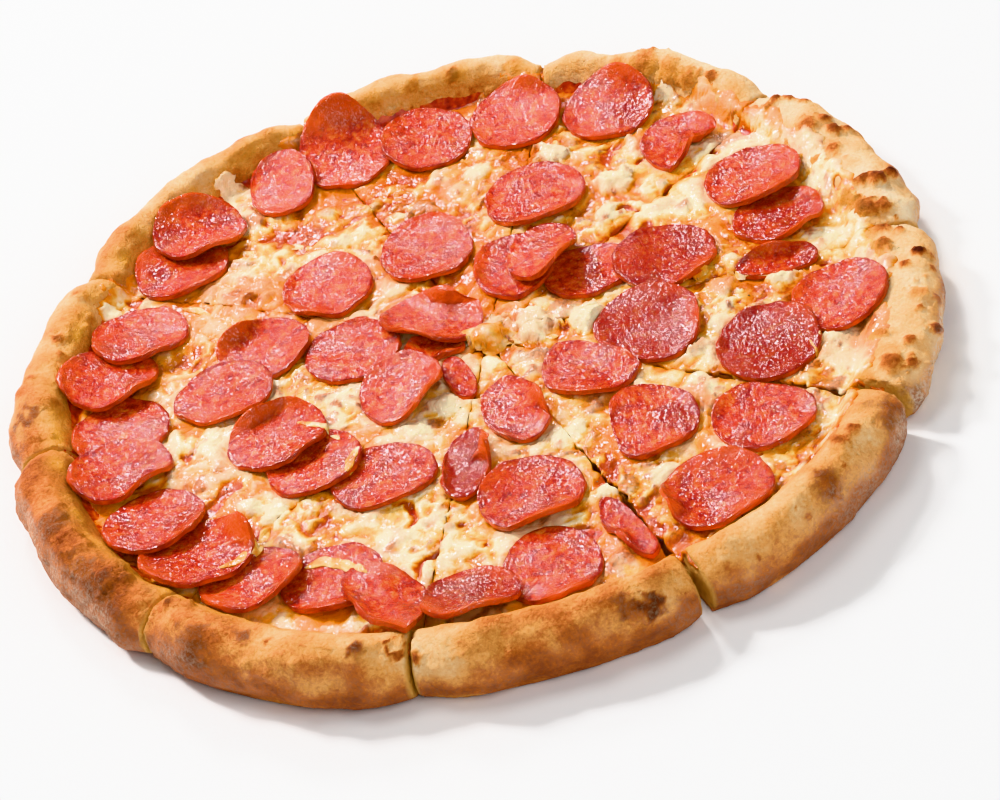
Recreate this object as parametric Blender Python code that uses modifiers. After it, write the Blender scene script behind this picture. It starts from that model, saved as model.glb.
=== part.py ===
"""A pepperoni pizza, baked whole and cut by five straight strokes into ten slices that still lie together.

Each slice is one solid: a raised rim, a flat base and a bumpy topping. Each piece of pepperoni is a thin
disc that rests on the slices and on the pieces laid before it, with some of its edge curled up by the heat
of the oven. The slices are numbered anticlockwise, seen from above, from the cut that points along +X.
"""

import math

import bmesh
import bpy
import numpy as np
from mathutils import Matrix, Vector, noise
from mathutils.bvhtree import BVHTree

MM = 0.001

# The round, before it is made uneven.
PIZZA_RADIUS = 175 * MM
RIM_WIDTH = 24 * MM
RIM_HEIGHT = 25 * MM
RIM_MIDDLE_HEIGHT = 11 * MM
TOPPING_HEIGHT = 12 * MM
MIDDLE_RISE = 1.5 * MM
ROUND_SIDES = 150
RIM_STEPS = 9
TOPPING_RINGS = 8
RING_EASE = 0.85
RIM_EASE = 1.7
RIM_BEGINS = 1.4
RIM_COMPLETE = 0.6
MERGE_WITHIN = 0.01 * MM

# How far the rim of each slice reaches from the centre, how wide it is, and how high.
SLICE_RIMS = (
    (173 * MM, 29 * MM, 20 * MM),
    (173 * MM, 18 * MM, 25 * MM),
    (174 * MM, 18 * MM, 26 * MM),
    (176 * MM, 19 * MM, 25 * MM),
    (177 * MM, 24 * MM, 24 * MM),
    (176 * MM, 23 * MM, 25 * MM),
    (176 * MM, 25 * MM, 26 * MM),
    (170 * MM, 23 * MM, 26 * MM),
    (173 * MM, 24 * MM, 25 * MM),
    (170 * MM, 28 * MM, 20 * MM),
)

# The five strokes of the knife cross here, and each makes two cuts.
CUT_CENTRE = (4 * MM, 3 * MM)
STROKES = (0.0, 37.0, 71.5, 106.5, 145.0)
CUT_GAP = 1.2 * MM
WIDE_CUTS = {286.5: 3.6 * MM, 325.0: 4.2 * MM}
PINCH_DEPTH = 4 * MM
PINCH_DROP = 4 * MM
PINCH_WIDTH = 9 * MM
CUTTER_REACH = 230 * MM
CUTTER_HEIGHT = 60 * MM

# The unevenness of hand-stretched dough and of melted cheese, with finer bumps on top of the broad ones.
RIM_BUMP = 2.2 * MM
RIM_LIFT = 1.5 * MM
TOPPING_BUMP = 1.3 * MM
BUMP_LENGTH = 19 * MM
FINER_BY = 2.3
FINE_SHARE = 0.5

# The pepperoni.
PEPPERONI_THICKNESS = 1.8 * MM
PEPPERONI_SIDES = 15
INNER_RING = 0.62
EDGE_WOBBLE = 0.04
WOBBLE_TURNS = 1.5
SEED_STEP = 7.7
LAYING_GAP = 0.4 * MM
LAYING_REACH = 0.9 * MM
SAG_STEP = 0.12 * MM
LAYING_ROUNDS = 140
BENDING = 0.3
FLATNESS = 0.05
SAMPLES_ALONG_EDGE = 5
CLEAR_ENOUGH = 0.01 * MM
STEEPEST_CURL = 0.85
CURL_START = 0.1
SKY = 100 * MM

# Colours as linear RGB, and the angle over which an edge stays sharp.
CRUST_COLOUR = (0.71, 0.42, 0.16)
CHEESE_COLOUR = (0.83, 0.62, 0.3)
MEAT_COLOUR = (0.56, 0.09, 0.045)
SHARP_FROM = 50
FACES_UP = 0.5

# Each piece in the order in which it is laid: its centre in mm from the middle of the round, its two
# widths in mm, the turn of the first width in degrees, its straight side, if a knife gave it one, and its
# curled edges. A straight side is the direction in which it faces and its distance from the centre in mm.
# A curl is the direction of its middle and the reach to either side in degrees, and its height in mm.
PEPPERONI = (
    (-69, -103, 38, 36, 0, None, ((-95, 60, 3.0),)),
    (-97, -93, 39, 35, 10, None, ((-35, 60, 4.0),)),
    (-113, -73, 45, 39, 0, None, ((12, 42, 7.0),)),
    (-127, -49, 39, 38, 0, None, ((-50, 60, 2.5),)),
    (-134, 8, 38, 37, 0, None, ()),
    (-136, -16, 39, 35, 0, None, ((-50, 60, 4.0),)),
    (-135, 38, 37, 38, 0, None, ((-50, 55, 4.0),)),
    (-121, 60, 38, 37, 0, None, ((-70, 50, 3.0),)),
    (-101, 96, 38, 35, 0, None, ((-75, 45, 2.5),)),
    (-91, 112, 37, 35, 0, None, ((-75, 55, 4.5),)),
    (74, 121, 38, 34, 0, None, ((60, 60, 2.0),)),
    (-29, 138, 37, 42, 0, None, ((95, 60, 4.0),)),
    (3, 134, 37, 38, 0, None, ((80, 55, 2.5),)),
    (39, 132, 38, 37, 0, None, ((70, 60, 2.5),)),
    (-56, 129, 27, 37, -5, None, ((100, 50, 2.0), (-95, 60, 2.0))),
    (97, 89, 34, 36, 0, (-53, 8.5), ((-53, 60, 6.0), (35, 50, 4.5))),
    (121, 28, 36, 32, 0, None, ((-60, 60, 3.0), (20, 40, 4.0))),
    (117, 54, 38, 38, 0, None, ((-75, 60, 3.0),)),
    (114, 2, 32, 17, 0, None, ((90, 80, 6.0),)),
    (131, -29, 37, 39, 0, None, ()),
    (101, -42, 39, 42, 0, None, ()),
    (66, -113, 43, 40, 0, None, ((186, 45, 7.0),)),
    (91, -79, 39, 39, 0, (47, 14.5), ((-70, 60, 2.5),)),
    (34, -118, 14, 37, 17, (17, 4.5), ((225, 60, 4.0),)),
    (5, -127, 35, 40, 0, None, ((-90, 50, 2.0),)),
    (-51, -127, 28, 52, 24, (-17, 12.0), ((185, 60, 4.0),)),
    (-25, -134, 37, 34, 15, (163, 16.0), ((-85, 60, 2.5),)),
    (-14, -63, 20, 37, -20, None, ((20, 60, 7.0), (190, 40, 3.0))),
    (5, -88, 40, 41, 0, None, ((-75, 60, 4.0),)),
    (-44, -57, 40, 35, -10, None, ((-75, 60, 2.5),)),
    (47, 26, 34, 30, 0, None, ()),
    (22, 40, 33, 39, 0, None, ((150, 50, 2.0),)),
    (33, 39, 27, 38, -15, None, ((-65, 60, 4.0),)),
    (37, 80, 40, 41, 0, None, ((-80, 65, 4.0),)),
    (76, 21, 40, 39, 0, None, ((-60, 60, 3.0),)),
    (62, -15, 42, 43, 0, (223, 17.0), ((-15, 50, 3.0),)),
    (38, -28, 38, 39, 0, (48, 9.5), ((-110, 50, 2.5),)),
    (51, -67, 38, 40, 0, (180, 12.5), ((-80, 55, 2.5),)),
    (8, -41, 25, 39, 12, None, ((0, 55, 7.0),)),
    (-9, -15, 11, 25, 10, None, ()),
    (-15, 5, 24, 15, -25, None, ()),
    (-44, 17, 38, 36, 0, None, ()),
    (-13, 20, 42, 32, -38, None, ((50, 60, 7.0), (230, 60, 4.0))),
    (-30, -14, 33, 38, 0, None, ((-50, 60, 6.0),)),
    (-8, 65, 37, 43, 0, None, ((45, 45, 4.5), (-90, 60, 2.5))),
    (-76, 33, 37, 34, 0, None, ((125, 45, 5.0),)),
    (-48, 59, 36, 39, 0, None, ((60, 50, 3.0), (-130, 40, 2.5))),
    (-94, 13, 39, 33, 0, None, ()),
    (-67, -40, 37, 35, 0, None, ()),
    (-78, -20, 39, 38, 0, None, ((110, 60, 7.0), (-60, 50, 2.5))),
)

CUT_DIRECTIONS = tuple(sorted([angle + half for angle in STROKES for half in (0.0, 180.0)]))


def clear_scene():
    for item in list(bpy.data.objects):
        bpy.data.objects.remove(item, do_unlink=True)


def new_collection(name):
    collection = bpy.data.collections.new(name)
    bpy.context.scene.collection.children.link(collection)
    return collection


def plain_material(name, colour, roughness):
    """A matte or glossy finish that is no metal."""
    material = bpy.data.materials.new(name)
    material.use_nodes = True
    shader = material.node_tree.nodes["Principled BSDF"]
    shader.inputs["Base Color"].default_value = (*colour, 1.0)
    shader.inputs["Roughness"].default_value = roughness
    shader.inputs["Metallic"].default_value = 0.0
    return material


def smooth_step(low, high, value):
    share = min(max((value - low) / (high - low), 0.0), 1.0)
    return share * share * (3 - 2 * share)


def direction(degrees):
    return Vector((math.cos(math.radians(degrees)), math.sin(math.radians(degrees))))


def rim_values(degrees):
    """Reach, width and height of the rim at this direction, eased from one slice to the next."""
    middles = [
        (start + (end - start) / 2) % 360
        for start, end in zip(CUT_DIRECTIONS, CUT_DIRECTIONS[1:] + (360.0,))
    ]
    later = next((i for i, middle in enumerate(middles) if middle > degrees % 360), 0)
    earlier = later - 1
    span = (middles[later] - middles[earlier]) % 360
    share = smooth_step(0, 1, ((degrees - middles[earlier]) % 360) / span)
    return [
        before + (after - before) * share
        for before, after in zip(SLICE_RIMS[earlier], SLICE_RIMS[later])
    ]


def pinch(x, y):
    """1 at a cut and 0 away from it: the knife presses the rim in and down on both sides."""
    from_centre = Vector((x - CUT_CENTRE[0], y - CUT_CENTRE[1]))
    nearest = 1.0
    for degrees in CUT_DIRECTIONS:
        along = direction(degrees)
        if from_centre.dot(along) > 0:
            nearest = min(nearest, abs(along.x * from_centre.y - along.y * from_centre.x))
    return math.exp(-((nearest / PINCH_WIDTH) ** 2))


def section_points():
    """A section from the middle of the topping, over the rim and down to the middle of the base."""
    foot = PIZZA_RADIUS - RIM_WIDTH
    points = []
    for ring in range(TOPPING_RINGS):
        share = ring / TOPPING_RINGS
        points.append((foot * share**RING_EASE, TOPPING_HEIGHT + MIDDLE_RISE * (1 - share)))
    middle = PIZZA_RADIUS - RIM_WIDTH / 2
    last = -math.asin(RIM_MIDDLE_HEIGHT / (RIM_HEIGHT - RIM_MIDDLE_HEIGHT))
    for step in range(RIM_STEPS + 1):
        turn = math.pi + (last - math.pi) * step / RIM_STEPS
        if turn > math.pi / 2:
            height = TOPPING_HEIGHT + (RIM_HEIGHT - TOPPING_HEIGHT) * math.sin(turn) ** RIM_EASE
        else:
            height = RIM_MIDDLE_HEIGHT + (RIM_HEIGHT - RIM_MIDDLE_HEIGHT) * math.sin(turn)
        points.append((middle + RIM_WIDTH / 2 * math.cos(turn), height))
    points[-1] = (points[-1][0], 0.0)
    points.append((0.0, 0.0))
    return points


def swell(spot):
    """Smooth noise of about one, with finer noise on top of it."""
    return noise.noise(spot / BUMP_LENGTH) + FINE_SHARE * noise.noise(spot * FINER_BY / BUMP_LENGTH)


def uneven(point):
    """Moves a point of the even round to its place on the real one."""
    radius = math.hypot(point.x, point.y)
    degrees = math.degrees(math.atan2(point.y, point.x))
    reach, width, height = rim_values(degrees)
    pressed = pinch(point.x, point.y)
    on_rim = smooth_step(
        PIZZA_RADIUS - RIM_WIDTH * RIM_BEGINS, PIZZA_RADIUS - RIM_WIDTH * RIM_COMPLETE, radius
    )
    foot = PIZZA_RADIUS - RIM_WIDTH
    if radius > foot:
        new_radius = reach - (PIZZA_RADIUS - radius) * width / RIM_WIDTH
    else:
        new_radius = radius * (reach - width) / foot
    new_radius -= PINCH_DEPTH * pressed * on_rim
    lifted = (point.z / RIM_HEIGHT) ** 2 * on_rim
    z = point.z + (height - RIM_HEIGHT - PINCH_DROP * pressed) * lifted
    if point.z > 0:
        bump = swell(point)
        new_radius += RIM_BUMP * bump * on_rim
        z += RIM_LIFT * bump * lifted + TOPPING_BUMP * bump * (1 - on_rim)
    scale = new_radius / radius if radius > 0 else 1.0
    return Vector((point.x * scale, point.y * scale, z))


def whole_round():
    """The mesh of the whole pizza, uncut: a turned section whose points are then moved."""
    profile = bpy.data.meshes.new("round_section")
    points = section_points()
    profile.from_pydata([(x, 0.0, z) for x, z in points], [(i, i + 1) for i in range(len(points) - 1)], [])
    turned = bpy.data.objects.new("round_section", profile)
    bpy.context.scene.collection.objects.link(turned)
    screw = turned.modifiers.new("Turn", "SCREW")
    screw.steps = screw.render_steps = ROUND_SIDES
    screw.use_merge_vertices = True
    screw.merge_threshold = MERGE_WITHIN
    screw.use_normal_calculate = True
    bpy.context.view_layer.update()
    graph = bpy.context.evaluated_depsgraph_get()
    mesh = bpy.data.meshes.new_from_object(turned.evaluated_get(graph))
    bpy.data.objects.remove(turned, do_unlink=True)
    for vertex in mesh.vertices:
        vertex.co = uneven(vertex.co.copy())
    shape = bmesh.new()
    shape.from_mesh(mesh)
    bmesh.ops.triangulate(shape, faces=shape.faces)
    bmesh.ops.recalc_face_normals(shape, faces=shape.faces)
    shape.to_mesh(mesh)
    shape.free()
    return mesh


def wedge_cutter(name, start, end, collection):
    """The room of one slice: a wedge whose two sides stand half a gap inside the cuts."""
    sides = []
    for degrees, inward in ((start, 1), (end, -1)):
        along = direction(degrees)
        gap = WIDE_CUTS.get(degrees % 360, CUT_GAP)
        offset = Vector((-along.y, along.x)) * inward * gap / 2
        sides.append((Vector(CUT_CENTRE) + offset, along))
    (first, along), (second, other) = sides
    across = along.x * other.y - along.y * other.x
    apart = second - first
    tip = first + along * (apart.x * other.y - apart.y * other.x) / across
    corners = (tip, tip + along * CUTTER_REACH, tip + other * CUTTER_REACH)
    shape = bmesh.new()
    low = shape.faces.new([shape.verts.new((spot.x, spot.y, -CUTTER_HEIGHT / 4)) for spot in corners])
    raised = bmesh.ops.extrude_face_region(shape, geom=[low])
    tops = [item for item in raised["geom"] if isinstance(item, bmesh.types.BMVert)]
    bmesh.ops.translate(shape, verts=tops, vec=(0, 0, CUTTER_HEIGHT))
    bmesh.ops.recalc_face_normals(shape, faces=shape.faces)
    mesh = bpy.data.meshes.new(name)
    shape.to_mesh(mesh)
    shape.free()
    cutter = bpy.data.objects.new(name, mesh)
    cutter.hide_render = True
    cutter.display_type = "WIRE"
    collection.objects.link(cutter)
    return cutter


def apply_modifiers(item):
    bpy.context.view_layer.update()
    graph = bpy.context.evaluated_depsgraph_get()
    mesh = bpy.data.meshes.new_from_object(item.evaluated_get(graph))
    item.modifiers.clear()
    item.data = mesh


def shade(item):
    item.data.shade_smooth()
    item.data.set_sharp_from_angle(angle=math.radians(SHARP_FROM))


def make_slices(parts, cutters):
    """Each slice is what one wedge keeps of the whole round."""
    crust = plain_material("baked_crust", CRUST_COLOUR, 0.7)
    cheese = plain_material("melted_cheese", CHEESE_COLOUR, 0.4)
    mesh = whole_round()
    slices = []
    for number, start in enumerate(CUT_DIRECTIONS):
        end = (CUT_DIRECTIONS + (360.0,))[number + 1]
        cutter = wedge_cutter(f"wedge_{number + 1:02d}", start, end, cutters)
        piece = bpy.data.objects.new(f"slice_{number + 1:02d}", mesh.copy())
        parts.objects.link(piece)
        cut = piece.modifiers.new("Cut", "BOOLEAN")
        cut.operation = "INTERSECT"
        cut.solver = "EXACT"
        cut.object = cutter
        apply_modifiers(piece)
        piece.data.materials.clear()
        piece.data.materials.append(crust)
        piece.data.materials.append(cheese)
        for face in piece.data.polygons:
            inside = math.hypot(*face.center.xy) < SLICE_RIMS[number][0] - SLICE_RIMS[number][1]
            face.material_index = int(inside and face.normal.z > FACES_UP)
        shade(piece)
        slices.append(piece)
    return slices


def as_ground(item):
    """What can carry a piece: its surface for rays, and the box that they have to hit."""
    corners = [vertex.co for vertex in item.data.vertices]
    tree = BVHTree.FromPolygons(corners, [tuple(face.vertices) for face in item.data.polygons])
    xs = [corner.x for corner in corners]
    ys = [corner.y for corner in corners]
    return tree, min(xs), max(xs), min(ys), max(ys)


def ground_height(x, y, grounds):
    """The highest surface near this point, within the reach that keeps two faceted surfaces apart."""
    highest = 0.0
    for tree, left, right, front, back in grounds:
        if not left - LAYING_REACH < x < right + LAYING_REACH:
            continue
        if not front - LAYING_REACH < y < back + LAYING_REACH:
            continue
        for step_x, step_y in ((0, 0), (1, 0), (-1, 0), (0, 1), (0, -1)):
            start = Vector((x + step_x * LAYING_REACH, y + step_y * LAYING_REACH, SKY))
            hit = tree.ray_cast(start, Vector((0, 0, -1)))[0]
            if hit:
                highest = max(highest, hit.z)
    return highest


def disc_plan(row, seed):
    """The points of a piece seen from above, ring by ring, and how far each one curls up."""
    x, y, width, length, turn, straight_side, curls = row
    centre = Vector((x, y)) * MM
    rings = ([], [])
    for step in range(PEPPERONI_SIDES):
        around = 2 * math.pi * step / PEPPERONI_SIDES
        spoke = Vector((width / 2 * math.cos(around), length / 2 * math.sin(around))) * MM
        spoke.rotate(Matrix.Rotation(math.radians(turn), 2))
        place = Vector((math.cos(around), math.sin(around), 0.0)) * WOBBLE_TURNS
        place.z = seed * SEED_STEP
        spoke *= 1 + EDGE_WOBBLE * noise.noise(place)
        if straight_side:
            faces, distance = straight_side
            reach = spoke.dot(direction(faces))
            if reach > distance * MM:
                spoke *= distance * MM / reach
        heading = math.degrees(math.atan2(spoke.y, spoke.x))
        rise = 0.0
        for middle, spread, height in curls:
            apart = abs((heading - middle + 180) % 360 - 180)
            if apart < spread:
                rise = max(rise, height * MM * math.cos(math.pi / 2 * apart / spread) ** 2)
        band = spoke.length * (1 - INNER_RING)
        edge_rise = min(rise, STEEPEST_CURL * band)
        inner_rise = (rise - edge_rise) + CURL_START * rise
        pulled = INNER_RING + math.sqrt(band**2 - edge_rise**2) / spoke.length
        rings[0].append((centre + spoke * INNER_RING, inner_rise))
        rings[1].append((centre + spoke * pulled, edge_rise + inner_rise))
    return [(centre, 0.0)] + rings[0] + rings[1]


def disc_triangles():
    """The triangles of a disc: a fan round its middle and a band between its two rings."""
    sides = PEPPERONI_SIDES
    triangles = []
    for step in range(sides):
        after = (step + 1) % sides
        inner, next_inner = 1 + step, 1 + after
        outer, next_outer = inner + sides, next_inner + sides
        triangles += [(0, inner, next_inner), (inner, outer, next_inner), (next_inner, outer, next_outer)]
    return triangles


def lay(points, triangles, grounds):
    """The height of each point of a thin, bendy disc that is let down on the grounds."""
    count = len(points)
    shares = []
    needed = []
    steps = SAMPLES_ALONG_EDGE
    for corners in triangles:
        for first in range(steps + 1):
            for second in range(steps + 1 - first):
                parts = (first / steps, second / steps, 1 - (first + second) / steps)
                spot = sum((points[corner] * part for corner, part in zip(corners, parts)), Vector((0, 0)))
                row = np.zeros(count)
                for corner, part in zip(corners, parts):
                    row[corner] += part
                shares.append(row)
                needed.append(ground_height(spot.x, spot.y, grounds) + LAYING_GAP)
    shares = np.array(shares)
    needed = np.array(needed)
    push = shares / (shares**2).sum(axis=1, keepdims=True)
    near = np.zeros((count, count))
    for corners in triangles:
        for corner in corners:
            for other in corners:
                near[corner, other] = float(corner != other)
    near /= near.sum(axis=1, keepdims=True)
    sloped = np.array([(1.0, point.x, point.y) for point in points])
    onto_plane = sloped @ np.linalg.pinv(sloped)
    heights = np.full(count, needed.max())

    def lift_clear(heights):
        lack = np.maximum(needed - shares @ heights, 0.0)
        return heights + (lack[:, None] * push).max(axis=0), lack.max()

    for _ in range(LAYING_ROUNDS):
        plane = onto_plane @ heights
        bend = heights - plane
        bend = (1 - FLATNESS) * ((1 - BENDING) * bend + BENDING * (near @ bend))
        heights, _ = lift_clear(plane + bend - SAG_STEP)
    lack = 1.0
    while lack > CLEAR_ENOUGH:
        heights, lack = lift_clear(heights)
    return heights


def make_pepperoni(slices, parts):
    """Lays each piece on the slices and on the pieces before it, as a thin shell with its own thickness."""
    meat = plain_material("cured_sausage", MEAT_COLOUR, 0.35)
    grounds = [as_ground(piece) for piece in slices]
    triangles = disc_triangles()
    pieces = []
    for number, row in enumerate(PEPPERONI):
        plan = disc_plan(row, number)
        points = [point for point, _ in plan]
        heights = lay(points, triangles, grounds)
        shape = bmesh.new()
        for (point, rise), height in zip(plan, heights):
            shape.verts.new((point.x, point.y, height + rise))
        shape.verts.ensure_lookup_table()
        for corners in triangles:
            shape.faces.new([shape.verts[corner] for corner in corners])
        mesh = bpy.data.meshes.new(f"pepperoni_{number + 1:02d}")
        shape.to_mesh(mesh)
        shape.free()
        piece = bpy.data.objects.new(mesh.name, mesh)
        parts.objects.link(piece)
        thicken = piece.modifiers.new("Thickness", "SOLIDIFY")
        thicken.thickness = PEPPERONI_THICKNESS
        thicken.offset = 1
        apply_modifiers(piece)
        piece.data.materials.append(meat)
        shade(piece)
        grounds.append(as_ground(piece))
        pieces.append(piece)
    return pieces


def centre_on_origin(items):
    """Moves everything so that the middle of its underside is the origin."""
    corners = [vertex.co for item in items for vertex in item.data.vertices]
    low = [min(corner[axis] for corner in corners) for axis in range(3)]
    high = [max(corner[axis] for corner in corners) for axis in range(3)]
    shift = Vector((-(low[0] + high[0]) / 2, -(low[1] + high[1]) / 2, -low[2]))
    for item in items:
        item.data.transform(Matrix.Translation(shift))


def main():
    clear_scene()
    parts = new_collection("pepperoni_pizza")
    cutters = new_collection("cutters")
    slices = make_slices(parts, cutters)
    pieces = make_pepperoni(slices, parts)
    for cutter in list(cutters.objects):
        bpy.data.objects.remove(cutter, do_unlink=True)
    bpy.data.collections.remove(cutters)
    centre_on_origin(slices + pieces)


main()
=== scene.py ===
"""Dresses a sliced pepperoni pizza.

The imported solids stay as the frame. Each slice is replaced by its baked dough with the blistered rim, a
thin sheet of sauce and a sheet of melted cheese with toasted bubbles, and each disc of sausage by a finer
one with a curled, oily edge. Strings of cheese and herbs lie on top, and a pale studio stands round it.
"""

import math
import random

import bmesh
import bpy
import numpy as np
from bpy.props import FloatProperty, FloatVectorProperty, IntProperty, PointerProperty
from mathutils import Matrix, Vector, noise
from mathutils.bvhtree import BVHTree


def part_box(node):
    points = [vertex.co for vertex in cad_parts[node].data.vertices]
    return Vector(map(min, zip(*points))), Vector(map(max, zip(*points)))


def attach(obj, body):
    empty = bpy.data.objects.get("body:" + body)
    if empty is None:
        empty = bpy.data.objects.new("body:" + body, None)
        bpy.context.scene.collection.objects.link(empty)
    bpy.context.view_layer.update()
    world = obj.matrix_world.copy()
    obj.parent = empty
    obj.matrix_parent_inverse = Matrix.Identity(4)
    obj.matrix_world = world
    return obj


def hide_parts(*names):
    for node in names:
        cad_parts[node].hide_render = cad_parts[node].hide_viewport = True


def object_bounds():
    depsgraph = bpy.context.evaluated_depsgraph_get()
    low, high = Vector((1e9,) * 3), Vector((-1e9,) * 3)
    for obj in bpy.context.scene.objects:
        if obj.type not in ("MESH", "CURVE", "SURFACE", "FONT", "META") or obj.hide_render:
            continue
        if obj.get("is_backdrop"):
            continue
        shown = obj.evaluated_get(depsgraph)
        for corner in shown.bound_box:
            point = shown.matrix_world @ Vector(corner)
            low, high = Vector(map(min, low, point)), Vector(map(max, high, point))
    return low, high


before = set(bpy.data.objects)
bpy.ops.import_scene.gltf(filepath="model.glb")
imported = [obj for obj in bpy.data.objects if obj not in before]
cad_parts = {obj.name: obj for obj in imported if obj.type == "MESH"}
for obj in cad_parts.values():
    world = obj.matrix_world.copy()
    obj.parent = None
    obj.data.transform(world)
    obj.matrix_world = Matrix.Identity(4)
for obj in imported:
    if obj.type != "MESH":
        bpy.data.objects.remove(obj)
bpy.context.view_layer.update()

bl_info = {
    "name": "Sliced Pepperoni Pizza",
    "version": (1, 0, 0),
    "blender": (4, 5, 0),
    "location": "View3D > Sidebar > Pizza",
    "description": "Dresses a sliced pepperoni pizza with dough, sauce, cheese, sausage and a pale studio",
    "category": "Add Mesh",
}

MM = 0.001
UP = Vector((0, 0, 1))
DOWN = Vector((0, 0, -1))

# The strokes of the knife, in degrees, which cross a little beside the middle of the round.
STROKES = (0.0, 37.0, 71.5, 106.5, 145.0)
CUTS = tuple(sorted(angle + half for angle in STROKES for half in (0.0, 180.0)))
SLICES = len(CUTS)
CUT_GAP = 1.2 * MM
WIDE_CUTS = {286.5: 3.6 * MM, 325.0: 4.2 * MM}
CROSSING = Vector((4 * MM, 3 * MM))

# The rim of each slice: how far it reaches from the middle and its width in mm, how dark it baked (which
# also sets the painted shade of its lower wall), how far in mm the cheese climbs it, and how floury its wall
# stayed.
RIMS = (
    (173, 29, 0.02, 14, 0.8),
    (173, 18, -0.02, 4, 0.7),
    (174, 18, 0.02, 3, 0.4),
    (176, 19, 0.08, 3, 0.5),
    (177, 24, 0.16, 2, 0.6),
    (176, 23, 0.58, 2, 0.5),
    (176, 25, 0.16, 2, 0.14),
    (170, 23, 0.18, 2, 0.12),
    (173, 24, 0.22, 5, 0.25),
    (170, 28, 0.04, 12, 0.9),
)

# The sheets of sauce and cheese: their thickness, how far inside the slice's sides they are cut, and how far
# they run up the rim. Beside a cut, where the rim is pinched, they end short of its outer wall.
SAUCE_SHEET = 1.2 * MM
SAUCE_INSET = 0.5 * MM
SAUCE_CLIMB = 11 * MM
CHEESE_SHEET = 2.0 * MM
CHEESE_INSET = 0.25 * MM
CHEESE_CLIMB = 14 * MM
PINCH_WIDTH = 7 * MM
PINCH_DEPTH = 8 * MM

# The camera stands where the photograph was taken from, seen from the middle of the round.
CAMERA_PLACE = Vector((3.0, -1164.9, 933.6)) * MM
CAMERA_RIGHT = Vector((0.9632, -0.1694, -0.2086))
CAMERA_UP = Vector((0.2687, 0.6071, 0.7477))
CAMERA_BACK = Vector((0.0, -0.7763, 0.6303))
LENS = 146.41
SENSOR = 36.0

# Marks are written where the photograph shows them on a level this high, in mm from the middle of the
# round, and are carried along the line of sight to the surface that shows there.
MARK_LEVEL = 14 * MM

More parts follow.
